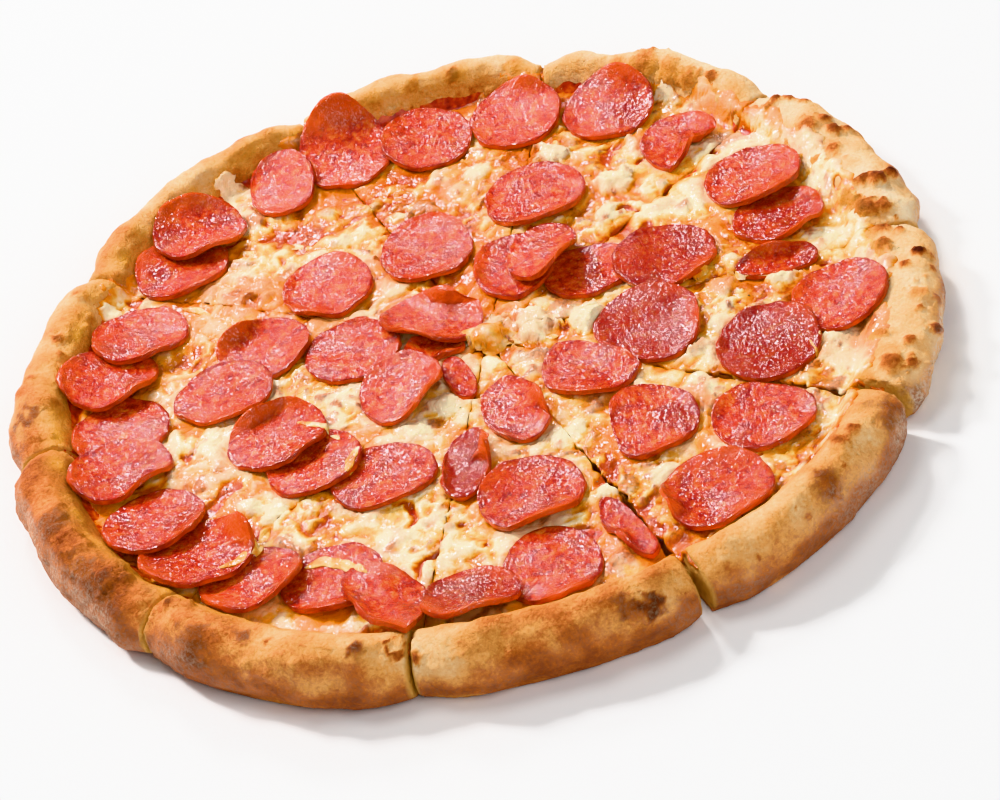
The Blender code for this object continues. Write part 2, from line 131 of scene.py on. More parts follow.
# Blisters, rings and toasted patches of the rim: x, y, radius and height in mm, browning, kind.
CRUST_MARKS = (
    (132, 96, 2.6, 1.0, 0.9, "blister"),
    (136, 98, 2.6, 1.2, 1.0, "blister"),
    (141, 97, 2.8, 1.2, 1.0, "blister"),
    (146, 93, 2.6, 1.0, 0.9, "blister"),
    (143, 76, 5.0, 1.8, 0.75, "blister"),
    (150, 78, 3.2, 1.6, 0.9, "blister"),
    (152, 70, 3.6, 1.9, 1.0, "blister"),
    (157, 68, 2.6, 1.2, 0.9, "blister"),
    (149, 58, 3.8, 1.2, 0.8, "blister"),
    (142, 54, 3.4, 1.0, 0.7, "blister"),
    (155, 35, 3.6, 2.2, 1.0, "blister"),
    (160, 33, 4.2, 2.6, 1.1, "blister"),
    (165, 34, 3.2, 2.2, 1.1, "blister"),
    (147, 27, 3.6, 2.0, 0.9, "blister"),
    (152, 18, 5.0, 2.6, 1.0, "blister"),
    (158, 16, 3.4, 2.0, 0.9, "blister"),
    (150, 24, 3.0, 2.0, 1.0, "blister"),
    (154, 3, 4.6, 2.2, 0.9, "blister"),
    (152, -6, 4.0, 2.2, 0.9, "blister"),
    (160, 0, 2.8, 1.2, 0.8, "blister"),
    (163, -15, 3.0, 1.6, 1.3, "blister"),
    (157, -19, 2.4, 1.2, 0.9, "blister"),
    (166, -26, 3.0, 0.8, 0.7, "patch"),
    (158, -38, 5.0, 1.2, 0.6, "blister"),
    (162, -44, 3.2, 1.4, 0.8, "blister"),
    (139, -54, 3.6, 1.4, 0.8, "blister"),
    (148, -62, 3.2, 1.2, 0.8, "blister"),
    (158, -60, 3.4, 1.8, 1.0, "blister"),
    (139, -70, 4.8, 1.6, 0.85, "blister"),
    (146, -74, 3.2, 1.2, 0.8, "blister"),
    (93, 146, 7.0, 1.6, 0.75, "blister"),
    (101, 136, 5.0, 1.2, 0.7, "blister"),
    (107, 128, 5.0, 1.4, 0.8, "blister"),
    (116, 126, 3.4, 1.0, 0.9, "blister"),
    (82, 152, 6.0, 0.6, 0.6, "patch"),
    (58, 164, 8.0, 0.4, 0.65, "patch"),
    (45, 168, 6.0, 0.4, 0.6, "patch"),
    (23, 160, 7.0, 0.4, 0.7, "patch"),
    (20, 174, 4.0, 0.6, 1.0, "patch"),
    (3, 172, 7.0, 0.6, 0.75, "patch"),
    (-12, 168, 6.0, 0.3, 0.55, "patch"),
    (-45, 163, 7.0, 0.5, 0.7, "patch"),
    (-62, 155, 5.0, 0.3, 0.6, "patch"),
    (-104, 128, 6.0, 0.5, 0.6, "patch"),
    (-128, 104, 6.0, 0.6, 0.65, "patch"),
    (-141, 100, 5.0, 0.4, 0.7, "patch"),
    (-149, 84, 4.0, 0.5, 0.55, "patch"),
    (-152, 74, 3.2, 1.0, 0.9, "blister"),
    (-152, 64, 3.0, 0.9, 0.8, "blister"),
    (-165, 55, 3.0, 0.9, 0.8, "blister"),
    (-160, 40, 4.0, 0.7, 0.5, "blister"),
    (-169, 33, 9.0, 0.5, 0.8, "char"),
    (-172, 12, 4.0, 0.6, 0.9, "patch"),
    (-166, 4, 6.0, 0.3, 0.7, "patch"),
    (-158, -45, 6.5, 1.2, 0.75, "ring"),
    (-147, -68, 6.0, 2.2, 1.0, "blister"),
    (-143, -64, 4.0, 1.6, 0.8, "blister"),
    (-140, -72, 2.4, 1.0, 1.0, "blister"),
    (-156, -62, 11.0, 0.3, 0.6, "char"),
    (-150, -84, 13.0, 0.3, 0.7, "char"),
    (-163, -30, 9.0, 0.3, 0.5, "char"),
    (-126, -92, 4.0, 1.6, 1.0, "blister"),
    (-120, -95, 2.6, 1.2, 0.8, "blister"),
    (-104, -118, 4.5, 0.6, 0.75, "char"),
    (-95, -124, 3.0, 0.8, 0.9, "patch"),
    (-122, -116, 10.0, 0.4, 0.7, "char"),
    (-67, -140, 4.4, 0.8, 0.9, "char"),
    (-84, -150, 12.0, 0.5, 0.35, "patch"),
    (-53, -144, 4.6, 1.0, 0.8, "ring"),
    (-48, -152, 3.0, 0.9, 0.9, "blister"),
    (-92, -160, 9.0, 0.3, 0.75, "patch"),
    (-62, -170, 12.0, 0.3, 0.5, "patch"),
    (33, -160, 8.0, 1.0, 1.0, "char"),
    (25, -156, 6.0, 0.8, 0.8, "char"),
    (10, -166, 12.0, 0.3, 0.45, "patch"),
    (-22, -166, 6.0, 0.3, 0.5, "patch"),
    (60, -140, 7.0, 0.6, 0.5, "patch"),
    (84, -122, 8.0, 0.6, 0.5, "patch"),
    (112, -104, 4.6, 1.2, 0.8, "blister"),
    (118, -100, 3.4, 1.0, 0.8, "blister"),
    (104, -122, 8.0, 0.5, 0.75, "char"),
    (132, -96, 10.0, 0.4, 0.55, "char"),
    (143, -92, 7.0, 0.4, 0.5, "char"),
)

# Bubbles, toasted spots and pale lumps of the cheese: x, y, radius and height in mm, browning, kind.
CHEESE_MARKS = (
    (-33, -101, 3.6, 1.2, 0.8, "ring"),
    (-22, -86, 3.0, 1.0, 0.5, "blister"),
    (-26, -94, 2.6, 0.9, 0.6, "blister"),
    (-131, 78, 5.0, 1.6, 0.0, "pale"),
    (104, -107, 4.0, 1.4, 0.0, "pale"),
    (97, 122, 5.0, 1.6, 0.0, "pale"),
    (-60, -66, 4.0, 0.8, 0.9, "blister"),
    (-56, -72, 3.0, 0.7, 0.9, "blister"),
    (-84, -62, 6.0, 1.6, 0.0, "pale"),
    (-92, -54, 5.0, 1.4, 0.0, "pale"),
    (26, -62, 5.0, 1.4, 0.0, "pale"),
    (30, -98, 4.0, 1.2, 0.0, "pale"),
    (8, 9, 6.0, 3.2, 0.0, "pale"),
    (22, 3, 8.0, 3.0, 0.0, "pale"),
    (42, -1, 8.0, 2.8, 0.0, "pale"),
    (13, -7, 4.0, 3.0, 0.1, "pale"),
    (-78, 66, 12.0, 0.6, 0.15, "oily"),
    (-120, 108, 8.0, 0.4, 0.2, "oily"),
    (30, -132, 5.0, 1.0, 1.0, "blister"),
    (38, -128, 4.0, 1.0, 0.9, "blister"),
    (24, -137, 4.0, 0.9, 0.9, "blister"),
    (-2, 88, 3.0, 0.8, 0.5, "blister"),
    (-24, 100, 3.0, 0.8, 0.6, "blister"),
    (-42, 104, 3.0, 0.8, 0.7, "blister"),
    (-58, 92, 3.0, 0.8, 0.6, "blister"),
    (48, 102, 7.0, 2.0, 0.0, "pale"),
    (18, 104, 6.0, 1.6, 0.0, "pale"),
    (67, 74, 7.0, 2.4, 0.0, "pale"),
    (62, 58, 6.0, 1.8, 0.0, "pale"),
    (78, 104, 5.0, 1.4, 0.1, "pale"),
    (84, 66, 3.0, 1.2, 0.6, "blister"),
    (112, -8, 7.0, 2.0, 0.0, "pale"),
    (92, -4, 7.0, 1.6, 0.1, "oily"),
    (76, -34, 5.0, 1.4, 0.6, "blister"),
    (124, -50, 4.0, 1.8, 0.0, "pale"),
    (136, -38, 4.0, 1.4, 0.0, "pale"),
    (70, -62, 8.0, 1.6, 0.1, "oily"),
    (74, -88, 6.0, 1.2, 0.0, "pale"),
    (52, -98, 6.0, 1.2, 0.2, "pale"),
)

# Strings of melted cheese that lie over the sausage: radius in mm and the points they pass, in mm.
STRANDS = (
    (2.2, ((-38, 95), (-34, 88), (-30, 78), (-27, 66))),
    (1.3, ((-72, -12), (-66, -16), (-60, -20), (-56, -30))),
    (1.9, ((-108, -80), (-101, -80), (-93, -74), (-88, -66), (-86, -58))),
    (2.4, ((-78, -93), (-71, -92), (-64, -97), (-57, -104))),
    (1.7, ((-50, -36), (-54, -42), (-56, -50))),
    (1.5, ((-104, 72), (-98, 68), (-92, 60))),
    (1.0, ((137, 66), (138, 60), (141, 54))),
    (1.2, ((118, -44), (120, -50), (121, -60))),
    (0.9, ((122, -44), (124, -51), (125, -60))),
    (0.8, ((115, -46), (116, -53), (116, -62))),
    (1.6, ((-48, 84), (-56, 90), (-66, 94))),
    (1.5, ((96, 118), (103, 114), (110, 108))),
    (1.3, ((52, -44), (60, -50), (70, -50))),
    (1.2, ((78, 4), (90, 6), (100, 0), (112, -6))),
    (3.2, ((-2, 0), (6, 4), (14, 6), (24, 4))),
    (2.8, ((2, 8), (10, 2), (20, -4), (30, -6))),
    (2.4, ((8, 12), (14, 6), (12, -4))),
    (3.0, ((-4, 6), (2, 3), (7, -1), (14, -6))),
    (2.6, ((0, 9), (5, 5), (12, 4), (20, 8))),
    (2.2, ((18, 8), (30, 6), (42, 2))),
)

# Edges of the sausage that curled up: the direction and half the width in degrees, and the height in mm.
LIFTS = {
    3: ((20, 30, 5.0),),
    10: ((80, 45, 3.5),),
    12: ((80, 40, 5.0),),
    16: ((315, 35, 4.5),),
    17: ((300, 40, 2.5),),
    19: ((80, 60, 3.0),),
    22: ((60, 50, 4.0),),
    27: ((300, 30, 2.5), (200, 25, 2.0)),
    28: ((340, 38, 5.5),),
    31: ((20, 40, 2.0),),
    33: ((310, 40, 3.0),),
    38: ((120, 40, 2.0),),
    39: ((335, 38, 4.5),),
    41: ((110, 40, 2.0),),
    43: ((25, 45, 5.5), (230, 40, 2.5)),
    44: ((300, 40, 3.5),),
    46: ((150, 40, 2.5),),
    48: ((280, 40, 3.5),),
    50: ((60, 30, 3.0),),
}

# Where flakes of dried herb lie, besides those that are scattered.
HERB_PLACES = ((-49, -103), (-84, -50), (28, -90), (-10, 106), (-118, -106), (4, 118), (-101, 50))

# The sausages whose meat differs from the rest: redder and darker above zero, paler below.
MEAT_TONES = {36: 0.8, 21: 0.7, 28: 0.9, 35: 0.4, 27: 0.4, 33: -0.4, 20: 0.1, 16: -0.1, 14: -0.2, 17: 0.3}

# Each light: its name, its place from the middle of the pizza and its width in metres, and its watts.
STUDIO_LIGHTS = (
    ("window_left", (-0.95, 0.90, 1.10), 0.30, 40.0),
    ("window_back", (-0.15, 1.35, 1.05), 0.34, 22.0),
    ("soft_box_front", (0.6, -1.2, 1.2), 1.4, 15.0),
    ("soft_box_top", (-0.4, 0.3, 1.7), 0.8, 8.0),
)
WORLD_STRENGTH = 0.24
FLOOR_WIDTH = 8.0
FLOOR_LEVEL = -0.3 * MM


def shade(code):
    """The linear colour of an sRGB hex value."""
    channels = [int(code[start : start + 2], 16) / 255 for start in (1, 3, 5)]
    return tuple(c / 12.92 if c <= 0.04045 else ((c + 0.055) / 1.055) ** 2.4 for c in channels)


def colour_choice(name, description, code):
    """A colour that a user can change."""
    return FloatVectorProperty(
        name=name, description=description, subtype="COLOR", size=3, min=0, max=1, default=shade(code)
    )


def length_choice(name, description, millimetres):
    """A length that a user can change, in metres."""
    return FloatProperty(
        name=name, description=description, subtype="DISTANCE", unit="LENGTH", default=millimetres * MM
    )


def middle_of_round():
    """The middle of the round in the frame, worked out from the tip of the first slice."""
    half = math.radians(STROKES[1] / 2)
    reach = CUT_GAP / 2 / math.sin(half)
    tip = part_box("slice_01")[0]
    crossing = Vector((tip.x - reach * math.cos(half), tip.y - reach * math.sin(half)))
    return crossing - CROSSING


MIDDLE = middle_of_round()


def slice_name(number):
    return f"slice_{number:02d}"


def sausage_names():
    return sorted(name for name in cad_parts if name.startswith("pepperoni"))


def smooth(low, high, values):
    """0 below low, 1 above high and a soft step between."""
    share = np.clip((values - low) / (high - low), 0.0, 1.0)
    return share * share * (3 - 2 * share)


def waves(points, length, seed=0.0):
    """Smooth noise of about -1 to 1 at each point, which varies over this length; a seed shifts it."""
    spots = (points / length + seed).tolist()
    return np.fromiter((noise.noise(spot) for spot in spots), float, len(spots))


def rim_table(column):
    """A column of the rims' table as a function of the direction, eased from slice to slice."""
    ends = CUTS[1:] + (360.0,)
    middles = [(start + end) / 2 for start, end in zip(CUTS, ends)]
    values = [rim[column] for rim in RIMS]
    return lambda degrees: np.interp(degrees % 360, middles, values, period=360)


rim_reach = rim_table(0)
rim_width = rim_table(1)
rim_baking = rim_table(2)
cheese_climb = rim_table(3)
rim_flour = rim_table(4)


def polar(points):
    """The radius from the middle of the round and the direction in degrees, for each point."""
    x = points[:, 0] - MIDDLE.x
    y = points[:, 1] - MIDDLE.y
    return np.hypot(x, y), np.degrees(np.arctan2(y, x)) % 360


def rim_foot(degrees):
    """The radius at which the topping ends and the rim begins to rise."""
    return (rim_reach(degrees) - rim_width(degrees)) * MM


def cut_pair(number):
    return CUTS[number - 1], (CUTS + (360.0,))[number]


def cut_side(degrees, inward, inset):
    """A point on one side of a slice and the direction into the slice from it."""
    along = math.radians(degrees)
    normal = Vector((-math.sin(along), math.cos(along), 0.0)) * inward
    gap = WIDE_CUTS.get(degrees % 360, CUT_GAP)
    place = (MIDDLE + CROSSING).to_3d() + normal * (gap / 2 + inset)
    return place, normal


def from_cuts(points, number):
    """How far each point is from the nearer of the slice's two cuts."""
    start, end = cut_pair(number)
    nearest = np.full(len(points), 1.0)
    for degrees, inward in ((start, 1), (end, -1)):
        place, normal = cut_side(degrees, inward, 0.0)
        nearest = np.minimum(nearest, (points[:, :2] - place.xy) @ np.array(normal.xy))
    return nearest


def deselect_all():
    if bpy.context.mode != "OBJECT":
        bpy.ops.object.mode_set(mode="OBJECT")
    bpy.ops.object.select_all(action="DESELECT")


def take(*pieces):
    """Selects these objects alone and makes the first the active one."""
    deselect_all()
    for piece in pieces:
        piece.select_set(True)
    bpy.context.view_layer.objects.active = pieces[0]


def finish_with(piece, kind, **settings):
    """Adds a modifier with its settings and applies it."""
    take(piece)
    modifier = piece.modifiers.new(kind.title(), kind)
    for name, value in settings.items():
        setattr(modifier, name, value)
    bpy.ops.object.modifier_apply(modifier=modifier.name)


def points_of(piece):
    values = np.empty(len(piece.data.vertices) * 3, np.float32)
    piece.data.vertices.foreach_get("co", values)
    return values.reshape(-1, 3).astype(float)


def normals_of(piece):
    values = np.empty(len(piece.data.vertices) * 3, np.float32)
    piece.data.vertex_normals.foreach_get("vector", values)
    return values.reshape(-1, 3).astype(float)


def move_to(piece, points):
    piece.data.vertices.foreach_set("co", points.astype(np.float32).ravel())
    piece.data.update()


def paint(piece, name, values):
    """Keeps a number for each point of the piece, which its material reads."""
    layer = piece.data.attributes.get(name) or piece.data.attributes.new(name, "FLOAT", "POINT")
    layer.data.foreach_set("value", np.clip(values, -1.0, 2.0).astype(np.float32))


def read(piece, name):
    values = np.empty(len(piece.data.vertices), np.float32)
    piece.data.attributes[name].data.foreach_get("value", values)
    return values.astype(float)


def copy_of_node(node, name):
    """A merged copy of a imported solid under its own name."""
    deselect_all()
    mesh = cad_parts[node].data.copy()
    mesh.name = name
    mesh.materials.clear()
    piece = bpy.data.objects.new(name, mesh)
    bpy.context.scene.collection.objects.link(piece)
    take(piece)
    bpy.ops.object.mode_set(mode="EDIT")
    bpy.ops.mesh.select_all(action="SELECT")
    bpy.ops.mesh.remove_doubles(threshold=0.01 * MM)
    bpy.ops.object.mode_set(mode="OBJECT")
    for layer in list(piece.data.uv_layers):
        piece.data.uv_layers.remove(layer)
    return piece


def surface_of(names):
    """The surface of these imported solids, for finding what lies where."""
    corners = []
    faces = []
    for name in names:
        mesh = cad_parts[name].data
        first = len(corners)
        corners += [vertex.co.copy() for vertex in mesh.vertices]
        faces += [tuple(first + corner for corner in face.vertices) for face in mesh.polygons]
    return BVHTree.FromPolygons(corners, faces)


SLICE_SURFACE = surface_of([slice_name(number) for number in range(1, SLICES + 1)])
SAUSAGE_SURFACE = surface_of(sausage_names())
WHOLE_SURFACE = surface_of(sorted(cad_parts))
OTHERS = {
    int(name[-2:]): surface_of([other for other in sausage_names() if other != name])
    for name in sausage_names()
}
CAMERA_SPOT = CAMERA_PLACE + MIDDLE.to_3d()


def seen_at(x, y, surface):
    """Where the line of sight through this mark meets the surface, or None beside it."""
    mark = Vector((MIDDLE.x + x * MM, MIDDLE.y + y * MM, MARK_LEVEL))
    return surface.ray_cast(CAMERA_SPOT, (mark - CAMERA_SPOT).normalized())[0]


def add_marks(points, marks, surface, mottling):
    """The lift, browning, oil and paleness that blisters, rings and patches give to each point."""
    lift, browning, oil, pale, char = np.zeros((5, len(points)))
    for x, y, radius, height, brown, kind in marks:
        place = seen_at(x, y, surface)
        if place is None:
            continue
        apart = np.linalg.norm(points - np.array(place), axis=1) / (radius * MM)
        near = np.nonzero(apart < 1.6)[0]
        if not len(near):
            continue
        rough = 0.5 * waves(points[near], radius * 0.6 * MM, x * 0.37)
        rough += 0.3 * waves(points[near], 1.4 * MM, y)
        reach = apart[near] * (1 + rough)
        dome = np.clip(1 - reach**2, 0.0, 1.0)
        if kind == "ring":
            edge = np.exp(-(((reach - 0.72) / 0.2) ** 2))
            lift[near] += height * MM * (edge + 0.35 * dome)
            browning[near] = np.maximum(browning[near], brown * edge)
        elif kind in ("patch", "char"):
            lift[near] += height * MM * dome * 0.5
            soft = smooth(0.0, 1.1, dome + 0.7 * waves(points[near], mottling))
            browning[near] = np.maximum(browning[near], 0.9 * brown * soft)
            if kind == "char":
                char[near] = np.maximum(char[near], 0.7 * soft)
        else:
            lump = dome**0.6 * (1 + 0.2 * waves(points[near], 2.2 * MM))
            lift[near] = np.maximum(lift[near], 1.3 * height * MM * lump)
            halo = 0.55 * smooth(0.0, 0.25, dome) + 0.32 * smooth(0.35, 1.0, dome)
            halo *= 1 + 0.25 * waves(points[near], 1.6 * MM, 7.0)
            browning[near] = np.maximum(browning[near], brown * halo)
            if kind == "oily":
                oil[near] = np.maximum(oil[near], dome)
            if kind == "pale":
                pale[near] = np.maximum(pale[near], smooth(0.0, 0.7, dome))
    return lift, browning, oil, pale, char


def small_blisters(number, count, seed):
    """Small blisters scattered along one slice's rim, written as marks at their own height."""
    draw = random.Random(seed)
    start, end = cut_pair(number)
    marks = []
    for _ in range(count):
        degrees = draw.uniform(start + 1.5, end - 1.5)
        foot = float(rim_foot(np.array([degrees]))[0]) / MM
        reach = float(rim_reach(np.array([degrees]))[0])
        radius = draw.uniform(foot + 3, reach - 3)
        size = draw.uniform(0.9, 2.4)
        spot = Vector((math.cos(math.radians(degrees)), math.sin(math.radians(degrees)))) * radius
        marks.append((spot.x, spot.y - 8, size, size * 0.4, draw.uniform(0.3, 0.8), "blister"))
    return marks


def sculpt_dough(piece, number, look):
    """Gives the dough of one slice its bumps, folds, blisters and crumb, and notes how it is baked, with
    painted shade low on its walls and a painted highlight on its rim's top.
    """
    points = points_of(piece)
    normals = normals_of(piece)
    radius, degrees = polar(points)
    foot = rim_foot(degrees)
    top = smooth(0.3, 0.8, normals[:, 2])
    above = smooth(0.3 * MM, 4 * MM, points[:, 2])
    on_rim = smooth(foot - 2 * MM, foot + 6 * MM, radius)
    from_side = from_cuts(points, number)
    uncut = smooth(0.4 * MM, 2.2 * MM, from_side)

    broad = waves(points, 11 * MM, 3.1)
    middle = waves(points, 4.6 * MM, 9.4)
    fine = waves(points, 1.9 * MM, 17.7)
    folds = waves(points * np.array([1.0, 1.0, 4.2]), 12 * MM, 31.0)
    wall = smooth(0.15, 0.8, 1 - np.abs(normals[:, 2])) * on_rim
    lift = look.bumps * (1.0 * broad + 0.42 * middle + 0.14 * fine) * on_rim
    lift += look.folds * np.minimum(folds, 0.25) * wall
    pits = smooth(0.42, 0.75, waves(points, 2.6 * MM, 5.5)) * on_rim
    lift -= 0.45 * MM * pits

    marks = CRUST_MARKS + tuple(small_blisters(number, look.small_blisters, 40 + number))
    bulge, browning, _, _, char = add_marks(points, marks, SLICE_SURFACE, 3 * MM)
    lift += bulge * smooth(foot - 4 * MM, foot, radius)

    crumb = (1 - smooth(0.5 * MM, 1.6 * MM, from_side)) * (1 - top) * smooth(1.5 * MM, 3 * MM, points[:, 2])
    holes = smooth(0.15, 0.6, waves(points, 2.4 * MM, 71.0))
    lift = lift * uncut - 0.9 * MM * crumb * holes
    moved = points + normals * (lift * above)[:, None]
    sunk = look.sunk * (1 - smooth(foot - 3 * MM, foot + 2.5 * MM, radius)) * top * above
    moved[:, 2] = np.maximum(moved[:, 2] - sunk, 0.0)
    moved[:, 2] = np.where(points[:, 2] < 0.3 * MM, 0.0, moved[:, 2])
    move_to(piece, moved)

    baked = rim_baking(degrees) + 0.30
    baked += 0.30 * waves(points, 34 * MM, 2.2) + 0.16 * waves(points, 9 * MM, 8.8)
    baked += 0.16 * smooth(-0.1, 0.6, broad) * on_rim
    # Painted light: the lower walls are made darker, most on the front slices, whose walls face away from
    # the key light. This is partly baking and partly painted shade. The top of the rim is made lighter, a
    # painted highlight.
    front = smooth(-0.02, 0.22, rim_baking(degrees))
    low_wall_baking_and_shade = wall * (1 - smooth(5 * MM, 17 * MM, points[:, 2])) * smooth(0.5 * MM, 4 * MM, points[:, 2])
    baked += low_wall_baking_and_shade * (0.14 + 0.20 * front) - 0.10 * top * on_rim
    baked += 0.16 * wall * (1 - front) * (0.6 + waves(points, 26 * MM, 77.0))
    underside = smooth(0.4, 0.9, -normals[:, 2])
    baked += underside * (0.22 + 0.35 * waves(points, 13 * MM, 21.0))
    baked = np.clip(baked, 0.02, 0.72)
    strongest = np.maximum(baked, browning * smooth(foot - 6 * MM, foot, radius))
    paint(piece, "browning", strongest)
    inner = np.exp(-(((radius - foot - 3 * MM) / (5 * MM)) ** 2)) * top
    paint(piece, "oil", inner * (0.65 + 0.7 * waves(points, 8 * MM, 4.0)))
    paint(piece, "char", char)
    dusty = wall * smooth(foot + 8 * MM, foot + 14 * MM, radius) * rim_flour(degrees)
    paint(piece, "flour", dusty * (0.8 + 0.7 * waves(points, 16 * MM, 61.0)))
    paint(piece, "crumb", crumb * (1 - 0.5 * holes))
    inside = 1 - smooth(foot - 6 * MM, foot + 4 * MM, radius)
    paint(piece, "stain", crumb * inside * (0.75 + 0.5 * waves(points, 5 * MM, 13.0)))


def topping_sheet(name, number, spacing, inset, climb):
    """A fine grid over one slice, trimmed by its two cuts and let down on the slice."""
    low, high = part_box(slice_name(number))
    deselect_all()
    bpy.ops.mesh.primitive_grid_add(
        x_subdivisions=int((high.x - low.x) / spacing),
        y_subdivisions=int((high.y - low.y) / spacing),
        size=1,
        location=((low.x + high.x) / 2, (low.y + high.y) / 2, high.z + 10 * MM),
    )
    piece = bpy.context.object
    piece.name = name
    piece.data.name = name
    piece.scale = (high.x - low.x, high.y - low.y, 1)
    bpy.ops.object.transform_apply(location=True, rotation=True, scale=True)
    bpy.ops.object.mode_set(mode="EDIT")
    start, end = cut_pair(number)
    for degrees, inward in ((start, 1), (end, -1)):
        place, normal = cut_side(degrees, inward, inset)
        bpy.ops.mesh.select_all(action="SELECT")
        bpy.ops.mesh.bisect(plane_co=place, plane_no=normal, clear_inner=True)
    bpy.ops.mesh.select_all(action="SELECT")
    bpy.ops.mesh.remove_doubles(threshold=0.15 * MM)
    bpy.ops.mesh.select_all(action="DESELECT")
    bpy.ops.object.mode_set(mode="OBJECT")
    points = points_of(piece)
    radius, degrees = polar(points)
    reach = rim_foot(degrees) + climb
    pinched = from_cuts(points, number) < PINCH_WIDTH
    reach = np.where(pinched, np.minimum(reach, rim_reach(degrees) * MM - PINCH_DEPTH), reach)
    piece.data.vertices.foreach_set("select", radius > reach)
    bpy.ops.object.mode_set(mode="EDIT")
    bpy.ops.mesh.select_mode(type="VERT")
    bpy.ops.mesh.delete(type="VERT")
    bpy.ops.object.mode_set(mode="OBJECT")
    finish_with(
        piece,
        "SHRINKWRAP",
        target=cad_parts[slice_name(number)],
        wrap_method="PROJECT",
        use_project_z=True,
        use_negative_direction=True,
        use_positive_direction=False,
    )
    finish_with(piece, "SMOOTH", factor=0.5, iterations=12, use_x=False, use_y=False)
    return piece


def room_under_sausage(points):
    """The highest that the cheese may stand at each point: just below whatever lies above it."""
    ceiling = np.full(len(points), 1.0)
    reach = 1.0 * MM
    for index, (x, y, z) in enumerate(points.tolist()):
        for step_x, step_y in ((0, 0), (reach, 0), (-reach, 0), (0, reach), (0, -reach)):
            hit = SAUSAGE_SURFACE.ray_cast(Vector((x + step_x, y + step_y, z - reach)), UP)[0]
            if hit:
                ceiling[index] = min(ceiling[index], hit.z)
    return ceiling


def near_sausage(points, reach):
    """1 beside the sausage, 0 at this reach from it and beyond."""
    near = np.zeros(len(points))
    for index, spot in enumerate(points.tolist()):
        apart = SAUSAGE_SURFACE.find_nearest(Vector(spot), reach)[3]
        if apart is not None:
            near[index] = 1 - apart / reach
    return near


def sculpt_sauce(piece, number):
    """Lets the sauce show round the cheese, with a ragged edge that dives under the dough of the rim."""
    points = points_of(piece)
    radius, degrees = polar(points)
    edge = rim_foot(degrees) + 1.5 * MM + 2.6 * MM * waves(points, 9 * MM, 6.0)
    edge += 0.5 * cheese_climb(degrees) * MM
    height = -0.55 * MM + 0.35 * MM * waves(points, 3.4 * MM, 12.0)
    height -= 1.1 * np.clip(radius - edge, 0.0, 4 * MM)
    height -= 0.2 * MM * (1 - smooth(0.2 * MM, 1.6 * MM, from_cuts(points, number)))
    points[:, 2] += height
    move_to(piece, points)
    finish_with(piece, "SOLIDIFY", thickness=SAUCE_SHEET, offset=-1)


def close_cuts(points, number):
    """Lets the edge of the cheese creep unevenly across its half of each cut."""
    moved = points.copy()
    start, end = cut_pair(number)
    for degrees, inward in ((start, 1), (end, -1)):
        place, normal = cut_side(degrees, inward, 0.0)
        side = np.array(normal.xy)
        inside = (points[:, :2] - place.xy) @ side
        gap = WIDE_CUTS.get(degrees % 360, CUT_GAP)
        opening = smooth(60 * MM, 110 * MM, np.hypot(points[:, 0], points[:, 1])) * (gap > CUT_GAP)
        creep = gap / 2 * (0.95 - 0.6 * opening + 0.9 * waves(points, 5.0 * MM, degrees))
        creep = np.clip(creep, 0.0, gap / 2 - 0.1 * MM) + 0.2 * MM
        moved[:, :2] -= side * (creep * (1 - smooth(0.2 * MM, 4.5 * MM, inside)))[:, None]
    return moved


